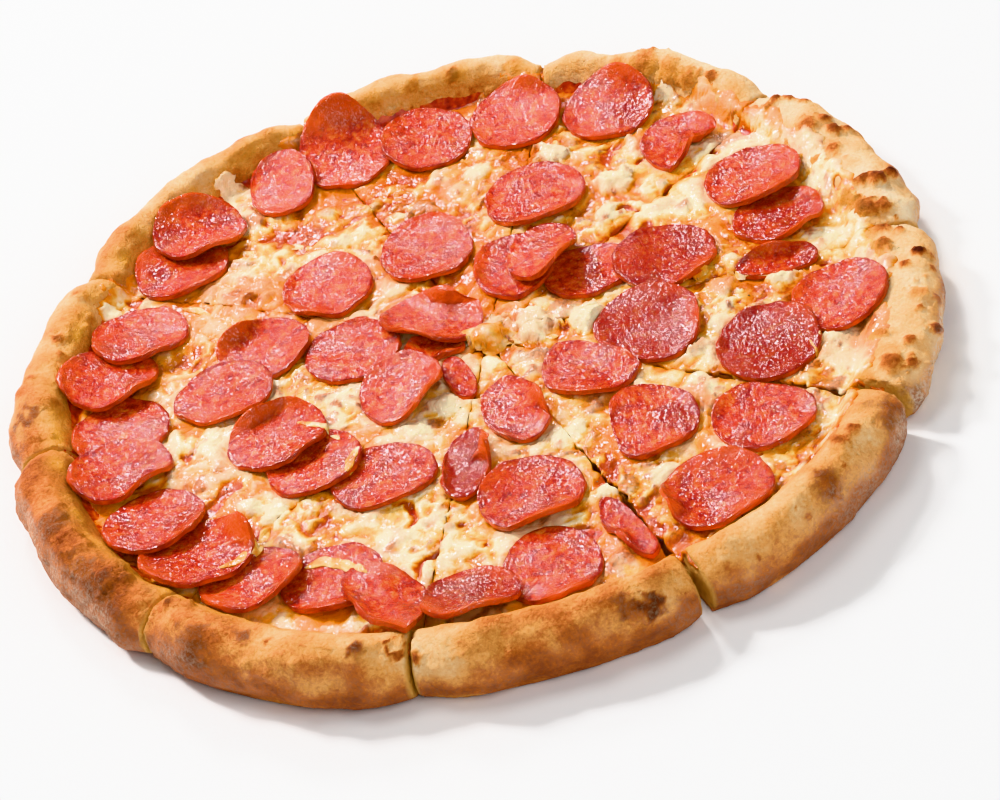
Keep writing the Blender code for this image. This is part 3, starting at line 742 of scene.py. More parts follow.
def sculpt_cheese(piece, number, look):
    """Gives the cheese its melted lumps, bubbles, bare spots and edges, and notes how it melted."""
    points = points_of(piece)
    radius, degrees = polar(points)
    warp = np.stack([waves(points, 9 * MM, seed) for seed in (1.3, 5.7, 9.1)], axis=1) * 4.5 * MM
    warped = points + warp
    broad = waves(warped, 15 * MM, 14.0)
    lumps = 2.6 * np.abs(waves(warped, 8.0 * MM, 25.0)) - 0.45
    clumps = 2.2 * np.abs(waves(warped, 4.2 * MM, 33.0)) - 0.35
    fine = waves(points, 2.0 * MM, 41.0)
    height = look.lumps * (0.85 * broad + 0.40 * lumps + 0.14 * clumps + 0.06 * fine)
    height += look.rise
    shreds = np.zeros(len(points))
    for turn, seed in ((0.4, 201.0), (1.5, 212.0), (2.6, 223.0)):
        along = warped[:, 0] * math.cos(turn) + warped[:, 1] * math.sin(turn)
        across = warped[:, 1] * math.cos(turn) - warped[:, 0] * math.sin(turn)
        stretched = np.column_stack([along * 0.22, across, warped[:, 2]])
        ridge = np.exp(-((waves(stretched, 5.0 * MM, seed) / 0.10) ** 2))
        shreds = np.maximum(shreds, ridge * smooth(-0.1, 0.3, waves(points, 17 * MM, seed + 3)))
    height += 0.75 * MM * shreds

    points = close_cuts(points, number)
    from_side = from_cuts(points, number)
    edge = rim_foot(degrees) + cheese_climb(degrees) * MM - 3.5 * MM
    edge += 4.5 * MM * waves(points, 12 * MM, 55.0) + 1.8 * MM * waves(points, 4.5 * MM, 58.0)
    height -= 0.55 * np.clip(radius - edge, 0.0, 6 * MM)
    height -= 0.6 * MM * smooth(-2.5 * MM, 0.5 * MM, radius - edge)

    bare = smooth(look.bareness, look.bareness + 0.22, waves(warped, 10 * MM, 80.0))
    height -= 1.5 * MM * bare
    worn = 1 - smooth(-0.5 * MM, (1.4 + 1.4 * waves(points, 8 * MM, 90.0)) * MM + 0.6 * MM, from_side)
    height -= 0.5 * MM * worn

    bulge, browning, oil, pale, _ = add_marks(points, CHEESE_MARKS, SLICE_SURFACE, 2 * MM)
    height += bulge
    bubbles = smooth(0.26, 0.42, waves(points, 3.6 * MM, 101.0))
    bubbles *= smooth(0.0, 0.3, waves(points, 22 * MM, 111.0))
    height += 0.7 * MM * bubbles
    near = near_sausage(points, 7 * MM)
    ceiling = room_under_sausage(points) - look.clearance
    points[:, 2] = np.minimum(points[:, 2] + height, ceiling)

    toasted = smooth(0.14, 0.42, waves(warped, 11 * MM, 120.0) + 0.2 * lumps)
    toasted *= smooth(-0.15, 0.35, waves(points, 34 * MM, 131.0)) * 0.8
    spots = smooth(0.18, 0.32, waves(warped, 5.5 * MM, 300.0))
    spots *= smooth(-0.1, 0.3, waves(points, 20 * MM, 310.0))
    brown = np.max([browning, toasted, 0.85 * bubbles, 0.8 * spots], axis=0)
    brown *= 1 - 0.8 * pale
    thick = 0.36 + (height - look.rise) / (2.4 * MM) - 0.5 * bare + 0.18 * pale + 0.15 * shreds
    thick += 0.7 * waves(points, 32 * MM, 170.0)
    greasy = smooth(0.05, 0.55, waves(warped, 19 * MM, 140.0) - 0.2 * lumps) * 0.8 + 0.9 * oil
    greasy += 0.5 * smooth(-5 * MM, 0.0, radius - edge) + 0.75 * near * (0.7 + 0.8 * fine)
    greasy += 0.6 * smooth(0.05, 0.4, waves(points, 36 * MM, 150.0))
    move_to(piece, points)
    paint(piece, "browning", brown)
    paint(piece, "thickness", thick)
    paint(piece, "oil", greasy * (1 - 0.6 * pale))
    finish_with(piece, "SOLIDIFY", thickness=CHEESE_SHEET, offset=-1)


def mark_sausage(piece):
    """Notes how near each point of a coarse disc is to its edge and how far it is curled up."""
    shape = bmesh.new()
    shape.from_mesh(piece.data)
    shape.verts.ensure_lookup_table()
    crease = shape.edges.layers.float.get("crease_edge") or shape.edges.layers.float.new("crease_edge")
    at_edge = np.zeros(len(shape.verts))
    for line in shape.edges:
        if line.calc_face_angle(0.0) > 0.9:
            line[crease] = 1.0
            for end in line.verts:
                at_edge[end.index] = 1.0
    shape.to_mesh(piece.data)
    shape.free()
    points = points_of(piece)
    inner = at_edge < 0.5
    sloped = np.column_stack([np.ones(inner.sum()), points[inner][:, :2]])
    plane = np.linalg.lstsq(sloped, points[inner][:, 2], rcond=None)[0]
    level = plane[0] + points[:, :2] @ plane[1:]
    paint(piece, "edge", at_edge)
    paint(piece, "lifted", (points[:, 2] - level) / (5 * MM))


def room_above(points, number):
    """How far each point of one disc may rise before it would touch what lies on it."""
    room = np.full(len(points), 1.0)
    for index, spot in enumerate(points.tolist()):
        hit = OTHERS[number].ray_cast(Vector(spot), UP)
        if hit[0]:
            room[index] = max(hit[3] - 0.25 * MM, 0.0)
    return room


def curl(points, number):
    """How far the curled edges of one disc lift each point."""
    out = points[:, :2] - (points[:, :2].min(axis=0) + points[:, :2].max(axis=0)) / 2
    share = np.hypot(out[:, 0], out[:, 1])
    share /= share.max()
    degrees = np.degrees(np.arctan2(out[:, 1], out[:, 0]))
    rise = np.zeros(len(points))
    for direction, width, height in LIFTS.get(number, ()):
        turn = (degrees - direction + 180) % 360 - 180
        rise += height * MM * np.exp(-((turn / width) ** 2)) * smooth(0.35, 1.05, share)
    return rise


def sculpt_sausage(piece, number, look):
    """Gives one disc its wrinkled skin, its lip and its shallow waves, and notes its tone."""
    mark_sausage(piece)
    finish_with(piece, "SUBSURF", levels=look.fineness, render_levels=look.fineness)
    points = points_of(piece)
    normals = normals_of(piece)
    edge = read(piece, "edge")
    shift = 7.3 * number
    top = smooth(0.0, 0.5, normals[:, 2])
    wrinkles = 0.55 * waves(points, 5.5 * MM, shift) + 0.38 * waves(points, 2.4 * MM, shift + 3)
    wrinkles += 0.22 * waves(points, 1.2 * MM, shift + 9)
    lip = np.exp(-(((edge - 0.9) / 0.09) ** 2))
    flat = np.column_stack([points[:, :2], np.full(len(points), number * 0.1)])
    sway = waves(flat, 13 * MM, shift + 20) * look.sway
    sideways = normals * np.array([1.0, 1.0, 0.0])
    ragged = 0.5 * MM * waves(points, 3.0 * MM, shift + 40) + 1.0 * MM * waves(points, 9 * MM, shift + 45)
    ragged *= smooth(0.6, 1.0, edge)
    moved = points + normals * (look.wrinkles * wrinkles * top + 0.28 * MM * lip * top)[:, None]
    moved += sideways * ragged[:, None]
    rise = np.maximum(sway, -0.1 * MM) * smooth(0.2, 0.95, edge) + curl(points, number)
    rise = np.minimum(rise, room_above(points, number))
    moved[:, 2] += rise
    move_to(piece, moved)
    # How far each point is lifted, which the material also paints a glowing orange: painted light through
    # the raised edge.
    paint(piece, "lifted", np.clip(read(piece, "lifted"), 0.0, 1.0) + 0.8 * rise / (4 * MM))
    tone = 0.25 + MEAT_TONES.get(number, 0.0) + 0.12 * math.sin(number * 2.4)
    paint(piece, "tone", np.full(len(points), tone))
    # The disc's sides, which the material paints a glowing orange: painted light coming through them.
    side = 1 - smooth(0.05, 0.55, normals[:, 2])
    paint(piece, "under", side * (0.55 + 0.9 * waves(points, 4 * MM, shift + 60)))


def rest_height(x, y, z):
    """The height of what lies under a point, or, over a cut, of what lies beside the cut."""
    hit = WHOLE_SURFACE.ray_cast(Vector((x, y, z + 5 * MM)), DOWN)[0]
    if hit and z - hit.z < 6 * MM:
        return hit.z
    heights = [z - 2 * MM]
    for step_x, step_y in ((3 * MM, 0), (-3 * MM, 0), (0, 3 * MM), (0, -3 * MM)):
        hit = WHOLE_SURFACE.ray_cast(Vector((x + step_x, y + step_y, z + 5 * MM)), DOWN)[0]
        if hit and abs(z - hit.z) < 6 * MM:
            heights.append(hit.z)
    return max(heights)


def cheese_plug():
    """Lumps of cheese that melted over the crossing of the cuts."""
    lumps = []
    for x, y, radius in ((0, 0, 7.0), (5, 2, 5.0), (-4, 3, 4.0), (2, -5, 4.5)):
        place = MIDDLE + CROSSING + Vector((x, y)) * MM
        spots = [Vector((place.x + side * MM, place.y + 4 * MM, 0.1)) for side in (-5, 5)]
        hits = [WHOLE_SURFACE.ray_cast(spot, DOWN)[0] for spot in spots]
        height = max(hit.z for hit in hits if hit)
        deselect_all()
        bpy.ops.mesh.primitive_uv_sphere_add(
            segments=24, ring_count=12, radius=radius * MM, location=(place.x, place.y, min(height, 17 * MM))
        )
        lump = bpy.context.object
        lump.scale = (1.0, 0.8, 0.7)
        bpy.ops.object.transform_apply(location=True, rotation=True, scale=True)
        lumps.append(lump)
    return lumps


def cheese_strand(number, radius, route):
    """A string of cheese along a smooth line that rests on whatever shows there."""
    places = [seen_at(x, y, WHOLE_SURFACE) for x, y in route]
    places = [place for place in places if place is not None]
    steps = 5
    line = [start.lerp(end, step / steps) for start, end in zip(places, places[1:]) for step in range(steps)]
    line.append(places[-1])
    curve = bpy.data.curves.new(f"strand_{number:02d}", "CURVE")
    curve.dimensions = "3D"
    curve.bevel_depth = radius
    curve.bevel_resolution = 3
    curve.use_fill_caps = True
    spline = curve.splines.new("POLY")
    spline.points.add(len(line) - 1)
    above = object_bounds()[1][2] + 10 * MM
    for index, place in enumerate(line):
        hit = WHOLE_SURFACE.ray_cast(Vector((place.x, place.y, above)), DOWN)[0] or place
        share = index / (len(line) - 1)
        taper = 0.2 + 0.9 * math.sin(math.pi * share) ** 0.6
        spline.points[index].co = (hit.x, hit.y, hit.z + 0.25 * radius, 1.0)
        spline.points[index].radius = taper * (1 + 0.3 * noise.noise(Vector((number, index * 0.4, 0.0))))
    strand = bpy.data.objects.new(curve.name, curve)
    bpy.context.scene.collection.objects.link(strand)
    take(strand)
    bpy.ops.object.convert(target="MESH")
    return bpy.context.object


def add_node(tree, kind, inputs=None, stops=None, **settings):
    """Adds a shader node with its settings, its colour stops and its inputs, which may be other outputs."""
    node = tree.nodes.new(kind)
    for name, value in settings.items():
        setattr(node, name, value)
    for place, (position, colour) in enumerate(stops or ()):
        ramp = node.color_ramp.elements
        stop = ramp[place] if place < len(ramp) else ramp.new(position)
        stop.position = position
        stop.color = (*colour, 1.0)
    for socket, value in (inputs or {}).items():
        if isinstance(value, bpy.types.NodeSocket):
            tree.links.new(value, node.inputs[socket])
        else:
            node.inputs[socket].default_value = value
    return node


def new_material(name):
    """An empty material, its tree, its shader and the place of each point on the piece."""
    material = bpy.data.materials.new(name)
    material.use_nodes = True
    tree = material.node_tree
    place = add_node(tree, "ShaderNodeTexCoord").outputs["Object"]
    return material, tree, tree.nodes["Principled BSDF"], place


def grain(size):
    """The scale of a pattern whose features are this many millimetres across."""
    return 1000.0 / size


def baked_dough_material(look):
    """Baked wheat dough, dusted with flour before it was stretched.

    Dry and matte, from cream where it stayed soft through gold and tan to brown on its blisters, with a
    greasy yellow inner edge where the topping's oil soaked in.
    """
    material, tree, shader, place = new_material("baked_wheat_dough")
    # The browning that the dough carries also holds painted shade on the lower walls and a painted highlight
    # on the rim's top.
    baked, oil, char, crumb, stain, dust = (
        add_node(tree, "ShaderNodeAttribute", attribute_name=name).outputs["Fac"]
        for name in ("browning", "oil", "char", "crumb", "stain", "flour")
    )
    mottle, speckle = (
        add_node(
            tree,
            "ShaderNodeTexNoise",
            {"Vector": place, "Scale": grain(size), "Detail": detail, "Roughness": roughness},
        ).outputs["Fac"]
        for size, detail, roughness in ((6, 6.0, 0.62), (1.3, 4.0, 0.7))
    )
    amount = baked
    for pattern, share in ((mottle, 0.4), (speckle, 0.5)):
        shift = add_node(
            tree, "ShaderNodeMath", {0: pattern, 1: share, 2: -share / 2}, operation="MULTIPLY_ADD"
        ).outputs[0]
        amount = add_node(tree, "ShaderNodeMath", {0: amount, 1: shift}, operation="ADD").outputs[0]
    colour = add_node(
        tree,
        "ShaderNodeValToRGB",
        {"Fac": amount},
        stops=(
            (0.0, look.cream),
            (0.22, look.pale),
            (0.42, look.gold),
            (0.60, look.tan),
            (0.80, look.brown),
            (1.0, look.dark),
        ),
    ).outputs["Color"]

    # Flour clings in the pores: a little where the dough scorched, more on the outer wall.
    flour, powder = (
        add_node(
            tree,
            "ShaderNodeMath",
            {
                0: add_node(
                    tree,
                    "ShaderNodeMapRange",
                    {"Value": speckle, "From Min": low, "From Max": high, "To Min": least, "To Max": most},
                ).outputs[0],
                1: cover,
            },
            operation="MULTIPLY",
        ).outputs[0]
        for cover, low, high, least, most in ((char, 0.44, 0.66, 0.0, 0.38), (dust, 0.42, 0.60, 0.25, 1.0))
    )
    for share, tint, blend in (
        (char, look.smoky, "MULTIPLY"),
        (flour, look.flour, "MIX"),
        (powder, look.powder, "MIX"),
        (oil, look.oily, "MIX"),
        (crumb, look.crumb, "MIX"),
        (stain, look.stain, "MIX"),
    ):
        colour = add_node(
            tree,
            "ShaderNodeMix",
            {"Factor": share, "A": colour, "B": (*tint, 1.0)},
            data_type="RGBA",
            blend_type=blend,
        ).outputs["Result"]
    tree.links.new(colour, shader.inputs["Base Color"])
    dry = add_node(
        tree,
        "ShaderNodeMapRange",
        {"Value": oil, "From Min": 0.0, "From Max": 0.8, "To Min": 0.66, "To Max": 0.30},
    ).outputs[0]
    tree.links.new(dry, shader.inputs["Roughness"])
    pores = add_node(
        tree, "ShaderNodeBump", {"Height": speckle, "Strength": 1.0, "Distance": 1.2 * MM}
    ).outputs["Normal"]
    skin = add_node(
        tree, "ShaderNodeBump", {"Height": mottle, "Strength": 0.8, "Distance": 2.0 * MM, "Normal": pores}
    ).outputs["Normal"]
    tree.links.new(skin, shader.inputs["Normal"])
    shader.inputs["Specular IOR Level"].default_value = 0.12
    shader.inputs["Subsurface Weight"].default_value = 0.06
    shader.inputs["Subsurface Radius"].default_value = (1.0, 0.55, 0.25)
    shader.inputs["Subsurface Scale"].default_value = 2.5 * MM
    return material


def tomato_sauce_material(look):
    """Cooked tomato sauce with oil: a deep orange red that stays wet and shiny, with coarse pulp."""
    material, tree, shader, place = new_material("cooked_tomato_sauce")
    pulp = add_node(
        tree, "ShaderNodeTexNoise", {"Vector": place, "Scale": grain(3), "Detail": 5.0}
    ).outputs["Fac"]
    colour = add_node(
        tree,
        "ShaderNodeValToRGB",
        {"Fac": pulp},
        stops=((0.30, look.sauce_dark), (0.52, look.sauce), (0.72, look.sauce_oil)),
    ).outputs["Color"]
    tree.links.new(colour, shader.inputs["Base Color"])
    bump = add_node(
        tree, "ShaderNodeBump", {"Height": pulp, "Strength": 0.6, "Distance": 0.8 * MM}
    ).outputs["Normal"]
    tree.links.new(bump, shader.inputs["Normal"])
    shader.inputs["Roughness"].default_value = 0.26
    shader.inputs["Specular IOR Level"].default_value = 0.15
    shader.inputs["Coat Weight"].default_value = 0.3
    shader.inputs["Coat Roughness"].default_value = 0.08
    return material


def melted_cheese_material(look):
    """Melted mozzarella: ivory and slightly see-through, yellow to orange where the sausage's oil pooled,
    toasted on its bubbles, with a wet gloss all over."""
    material, tree, shader, place = new_material("melted_mozzarella")
    brown, oil, thick = (
        add_node(tree, "ShaderNodeAttribute", attribute_name=name).outputs["Fac"]
        for name in ("browning", "oil", "thickness")
    )
    mottle, fine, film = (
        add_node(tree, "ShaderNodeTexNoise", {"Vector": place, "Scale": grain(size), **more}).outputs["Fac"]
        for size, more in (
            (4.5, {"Detail": 5.0, "Roughness": 0.6, "Distortion": 0.6}),
            (1.4, {"Detail": 3.0}),
            (3.0, {"Detail": 1.0}),
        )
    )
    shifted = add_node(
        tree, "ShaderNodeMath", {0: mottle, 1: 1.1, 2: -0.55}, operation="MULTIPLY_ADD"
    ).outputs[0]
    amount = add_node(tree, "ShaderNodeMath", {0: thick, 1: shifted}, operation="ADD").outputs[0]
    colour = add_node(
        tree,
        "ShaderNodeValToRGB",
        {"Fac": amount},
        stops=((0.0, look.thin), (0.28, look.golden), (0.52, look.cream), (0.80, look.ivory)),
    ).outputs["Color"]
    oily_share = add_node(
        tree,
        "ShaderNodeMapRange",
        {"Value": oil, "From Min": 0.15, "From Max": 1.0, "To Min": 0.0, "To Max": 0.75},
    ).outputs[0]
    scorched = add_node(
        tree, "ShaderNodeValToRGB", {"Fac": fine}, stops=((0.36, look.scorched), (0.62, look.toasted))
    ).outputs["Color"]
    for share, tint in ((oily_share, (*look.oil, 1.0)), (brown, scorched)):
        colour = add_node(
            tree, "ShaderNodeMix", {"Factor": share, "A": colour, "B": tint}, data_type="RGBA"
        ).outputs["Result"]
    tree.links.new(colour, shader.inputs["Base Color"])
    ripples = add_node(
        tree, "ShaderNodeBump", {"Height": fine, "Strength": 0.8, "Distance": 0.4 * MM}
    ).outputs["Normal"]
    folds = add_node(
        tree, "ShaderNodeBump", {"Height": mottle, "Strength": 0.9, "Distance": 1.2 * MM, "Normal": ripples}
    ).outputs["Normal"]
    tree.links.new(folds, shader.inputs["Normal"])
    film_bump = add_node(
        tree, "ShaderNodeBump", {"Height": film, "Strength": 0.8, "Distance": 1.2 * MM}
    ).outputs["Normal"]
    tree.links.new(film_bump, shader.inputs["Coat Normal"])
    gloss = add_node(
        tree,
        "ShaderNodeMapRange",
        {"Value": mottle, "From Min": 0.4, "From Max": 0.6, "To Min": 0.12, "To Max": 0.30},
    ).outputs[0]
    tree.links.new(gloss, shader.inputs["Roughness"])
    shader.inputs["Subsurface Weight"].default_value = 0.14
    shader.inputs["Subsurface Radius"].default_value = (1.0, 0.7, 0.35)
    shader.inputs["Subsurface Scale"].default_value = 3.0 * MM
    shader.inputs["Specular IOR Level"].default_value = 0.12
    shader.inputs["Coat Weight"].default_value = 0.70
    shader.inputs["Coat Roughness"].default_value = 0.05
    return material


def cured_sausage_material(look):
    """Cured pork sausage, sliced thin and baked: brick red meat marbled with fine flecks of fat, whose
    palest grains also stand in for fine glints as painted highlight, raised edges and sides painted a
    glowing orange for light coming through them, and a film of hot oil that sparkles on its grain."""
    material, tree, shader, place = new_material("cured_pork_sausage")
    edge, lifted, tone, under = (
        add_node(tree, "ShaderNodeAttribute", attribute_name=name).outputs["Fac"]
        for name in ("edge", "lifted", "tone", "under")
    )
    marbling, grit, blotch, grease = (
        add_node(tree, "ShaderNodeTexNoise", {"Vector": place, "Scale": grain(size), **more}).outputs["Fac"]
        for size, more in (
            (3.4, {"Detail": 6.0, "Roughness": 0.72, "Distortion": 0.3}),
            (0.9, {"Detail": 5.0, "Roughness": 0.75}),
            (15, {"Detail": 3.0, "Distortion": 0.8}),
            (1.45, {"Detail": 1.0}),
        )
    )
    flecks = add_node(
        tree, "ShaderNodeTexVoronoi", {"Vector": place, "Scale": grain(2.4), "Randomness": 1.0}
    ).outputs["Distance"]
    colour = add_node(
        tree,
        "ShaderNodeValToRGB",
        {"Fac": marbling},
        stops=((0.36, look.meat_dark), (0.46, look.meat), (0.55, look.meat_light), (0.66, look.meat_fat)),
    ).outputs["Color"]

    # Each layer: what it follows, the range that it reads and the shares there, and its colour.
    for value, low, high, first, last, tint in (
        (flecks, 0.10, 0.30, 0.55, 0.0, look.meat_fat),
        (blotch, 0.50, 0.64, 0.0, 0.65, look.meat_dark),
        # Pale grains of fat that also stand in for the oil's fine glints: partly a painted highlight.
        (grit, 0.60, 0.68, 0.0, 0.6, look.suet_and_painted_glint),
        (tone, 0.0, 1.2, 0.0, 0.9, look.meat_dark),
        (edge, 0.80, 0.97, 0.0, 0.75, look.skin),
        # The last two layers are painted light: raised edges and the disc's sides take a glowing orange for
        # light coming through them.
        (lifted, 0.25, 1.0, 0.0, 0.8, look.painted_glow),
        (under, 0.0, 1.0, 0.0, 1.0, look.painted_glow),
    ):
        share = add_node(
            tree,
            "ShaderNodeMapRange",
            {"Value": value, "From Min": low, "From Max": high, "To Min": first, "To Max": last},
        ).outputs[0]
        colour = add_node(
            tree, "ShaderNodeMix", {"Factor": share, "A": colour, "B": (*tint, 1.0)}, data_type="RGBA"
        ).outputs["Result"]
    tree.links.new(colour, shader.inputs["Base Color"])
    grain_bump = add_node(
        tree, "ShaderNodeBump", {"Height": grit, "Strength": 1.0, "Distance": 1.0 * MM}
    ).outputs["Normal"]
    skin_bump = add_node(
        tree,
        "ShaderNodeBump",
        {"Height": marbling, "Strength": 0.5, "Distance": 0.6 * MM, "Normal": grain_bump},
    ).outputs["Normal"]
    tree.links.new(skin_bump, shader.inputs["Normal"])
    film_bump = add_node(
        tree, "ShaderNodeBump", {"Height": grease, "Strength": 1.0, "Distance": 0.8 * MM}
    ).outputs["Normal"]
    tree.links.new(film_bump, shader.inputs["Coat Normal"])
    for socket, value, low, high, first, last in (
        ("Coat Weight", blotch, 0.42, 0.58, 0.35, 1.0),
        ("Roughness", grit, 0.40, 0.60, 0.15, 0.30),
    ):
        amount = add_node(
            tree,
            "ShaderNodeMapRange",
            {"Value": value, "From Min": low, "From Max": high, "To Min": first, "To Max": last},
        ).outputs[0]
        tree.links.new(amount, shader.inputs[socket])
    shader.inputs["Subsurface Weight"].default_value = 0.08
    shader.inputs["Subsurface Radius"].default_value = (1.0, 0.25, 0.1)
    shader.inputs["Subsurface Scale"].default_value = 2.0 * MM
    shader.inputs["Specular IOR Level"].default_value = 0.10
    shader.inputs["Coat Roughness"].default_value = 0.06
    return material


def dried_herb_material(look):
    """Flakes of dried oregano: dull grey green, darkened by the oven."""
    material, tree, shader, place = new_material("dried_oregano")
    patch = add_node(tree, "ShaderNodeTexNoise", {"Vector": place, "Scale": grain(4)}).outputs["Fac"]
    colour = add_node(
        tree, "ShaderNodeValToRGB", {"Fac": patch}, stops=((0.35, look.herb_dark), (0.65, look.herb))
    ).outputs["Color"]
    tree.links.new(colour, shader.inputs["Base Color"])
    shader.inputs["Roughness"].default_value = 0.6
    return material


def studio_floor_material(look):
    """Matt white studio paper."""
    material, tree, shader, place = new_material("matt_white_paper")
    tooth = add_node(
        tree, "ShaderNodeTexNoise", {"Vector": place, "Scale": grain(3), "Detail": 2.0}
    ).outputs["Fac"]
    bump = add_node(
        tree, "ShaderNodeBump", {"Height": tooth, "Strength": 0.05, "Distance": 0.1 * MM}
    ).outputs["Normal"]
    tree.links.new(bump, shader.inputs["Normal"])
    shader.inputs["Base Color"].default_value = (*look.floor, 1.0)
    shader.inputs["Roughness"].default_value = 0.9
    shader.inputs["Specular IOR Level"].default_value = 0.1
    return material


class DoughLook(bpy.types.PropertyGroup):
    """Sizes and colours of the dough."""

    voxel: length_choice("Fineness", "Size of the cells that the dough is modelled in", 1.15)
    bumps: length_choice("Bumps", "Height of the rim's soft bumps", 1.1)
    folds: length_choice("Folds", "Depth of the folds that run round the outer wall", 0.9)
    sunk: length_choice("Topping depth", "How far the dough lies below the top of the cheese", 1.6)
    small_blisters: IntProperty(name="Small blisters", description="Small blisters on each rim", default=14)
    cream: colour_choice("Cream", "Dough that stayed soft", "#FBE2BC")
    pale: colour_choice("Pale", "Lightly baked dough", "#F6CA92")
    gold: colour_choice("Gold", "Golden crust", "#ECA860")
    tan: colour_choice("Tan", "Well baked crust", "#C4703A")
    brown: colour_choice("Brown", "Toasted blisters", "#8E4420")
    dark: colour_choice("Dark", "The darkest spots", "#4C1C10")
    oily: colour_choice("Oily edge", "Inner edge soaked in oil", "#E8A44A")
    powder: colour_choice("Powder", "Flour on the outer wall", "#EBD6BC")
    flour: colour_choice("Flour", "Flour left on toasted dough", "#D6B492")
    crumb: colour_choice("Crumb", "Open crumb on the cuts", "#DCA660")
    stain: colour_choice("Stain", "Cut dough soaked with sauce", "#B04E1E")
    smoky: colour_choice("Smoky", "Tint of dough that scorched under flour", "#A89080")


class SauceLook(bpy.types.PropertyGroup):
    """Sizes and colours of the sauce."""

    spacing: length_choice("Fineness", "Distance between the points of the sauce", 1.7)
    sauce: colour_choice("Sauce", "Cooked sauce", "#B43214")
    sauce_dark: colour_choice("Dark sauce", "Sauce in the hollows", "#761608")
    sauce_oil: colour_choice("Oily sauce", "Sauce under oil", "#D86A28")


class CheeseLook(bpy.types.PropertyGroup):
    """Sizes and colours of the cheese."""

    spacing: length_choice("Fineness", "Distance between the points of the cheese", 0.95)
    lumps: length_choice("Lumps", "Height of the melted lumps", 1.9)
    rise: length_choice("Rise", "How far the cheese stands above the packed surface", 0.7)
    clearance: length_choice("Clearance", "Gap kept under the sausage", 0.2)
    bareness: FloatProperty(name="Bareness", description="Higher leaves fewer bare spots", default=0.42)
    ivory: colour_choice("Ivory", "Thick cheese", "#FCEAC2")
    cream: colour_choice("Cream", "Melted cheese", "#F6C66A")
    golden: colour_choice("Golden", "Thin cheese", "#E48E22")
    thin: colour_choice("Thin", "Cheese so thin that the sauce shows through", "#A43A08")
    oil: colour_choice("Oil", "Cheese under the sausage's oil", "#EA8014")
    toasted: colour_choice("Toasted", "Lightly toasted cheese", "#BC5A1C")
    scorched: colour_choice("Scorched", "Darkly toasted cheese", "#74290C")


class SausageLook(bpy.types.PropertyGroup):
    """Sizes and colours of the sausage."""

    fineness: IntProperty(name="Fineness", description="How often each disc is divided", default=3)
    wrinkles: length_choice("Wrinkles", "Height of the wrinkles", 0.4)
    sway: length_choice("Sway", "How far the edges wave up", 1.9)
    meat: colour_choice("Meat", "Cured meat", "#CA3218")
    meat_dark: colour_choice("Dark meat", "Lean, dark meat", "#92180C")
    meat_light: colour_choice("Light meat", "Fatty meat", "#E05222")
    meat_fat: colour_choice("Fat", "Flecks of fat", "#F68E44")
    # Pale grains of fat, partly a painted highlight standing in for fine glints.
    suet_and_painted_glint: colour_choice("Suet", "Fine pale grains of fat", "#F8B084")
    skin: colour_choice("Edge", "The cut edge's dark skin", "#98200E")
    # Painted light: the orange that raised edges and sides are given for light coming through them.
    painted_glow: colour_choice("Glow", "Raised edges that let the light through", "#F0601C")


class GarnishLook(bpy.types.PropertyGroup):
    """Sizes and colours of the herbs and the studio."""

    flakes: IntProperty(name="Flakes", description="Flakes of dried herb", default=60)
    herb: colour_choice("Herb", "Dried herb", "#6E6E40")
    herb_dark: colour_choice("Dark herb", "Scorched herb", "#3C3824")
    floor: colour_choice("Floor", "The studio's paper", "#F4F4F4")


def dress(piece, material, slot, *nodes):
    """Gives a finished piece its material and its body, and hides the nodes that it stands for; the slot is
    not used.
    """
    piece.data.materials.clear()
    piece.data.materials.append(material)
    piece.data.shade_smooth()
    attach(piece, "root")
    if nodes:
        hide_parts(*nodes)


class PIZZA_OT_bake_dough(bpy.types.Operator):
    """Makes the dough of each slice, with its rim"""

    bl_idname = "pizza.bake_dough"
    bl_label = "Bake the dough"

    def execute(self, context):
        look = context.scene.pizza_dough
        material = baked_dough_material(look)
        for number in range(1, SLICES + 1):
            piece = copy_of_node(slice_name(number), f"dough_{number:02d}")
            finish_with(piece, "REMESH", mode="VOXEL", voxel_size=look.voxel)
            finish_with(piece, "SMOOTH", factor=0.5, iterations=5)
            sculpt_dough(piece, number, look)
            dress(piece, material, "baked_dough", slice_name(number))
        return {"FINISHED"}


class PIZZA_OT_spread_sauce(bpy.types.Operator):
    """Spreads a thin sheet of sauce on each slice"""

    bl_idname = "pizza.spread_sauce"
    bl_label = "Spread the sauce"

    def execute(self, context):
        look = context.scene.pizza_sauce
        material = tomato_sauce_material(look)
        for number in range(1, SLICES + 1):
            piece = topping_sheet(f"sauce_{number:02d}", number, look.spacing, SAUCE_INSET, SAUCE_CLIMB)
            sculpt_sauce(piece, number)
            dress(piece, material, "baked_dough")
        return {"FINISHED"}


class PIZZA_OT_melt_cheese(bpy.types.Operator):
    """Melts a sheet of cheese over each slice"""

    bl_idname = "pizza.melt_cheese"
    bl_label = "Melt the cheese"

    def execute(self, context):
        look = context.scene.pizza_cheese
        material = melted_cheese_material(look)
        for number in range(1, SLICES + 1):
            piece = topping_sheet(f"cheese_{number:02d}", number, look.spacing, CHEESE_INSET, CHEESE_CLIMB)
            sculpt_cheese(piece, number, look)
            dress(piece, material, "baked_dough")
        return {"FINISHED"}


class PIZZA_OT_lay_sausage(bpy.types.Operator):
    """Makes each disc of sausage finer, with a wrinkled face and a lip"""

    bl_idname = "pizza.lay_sausage"
    bl_label = "Lay the sausage"

    def execute(self, context):
        look = context.scene.pizza_sausage
        material = cured_sausage_material(look)
        for name in sausage_names():
            number = int(name[-2:])
            piece = copy_of_node(name, f"sausage_{number:02d}")
            sculpt_sausage(piece, number, look)
            dress(piece, material, "pepperoni", name)
            take(piece)
            bpy.ops.object.shade_smooth_by_angle(angle=math.radians(40))
        return {"FINISHED"}


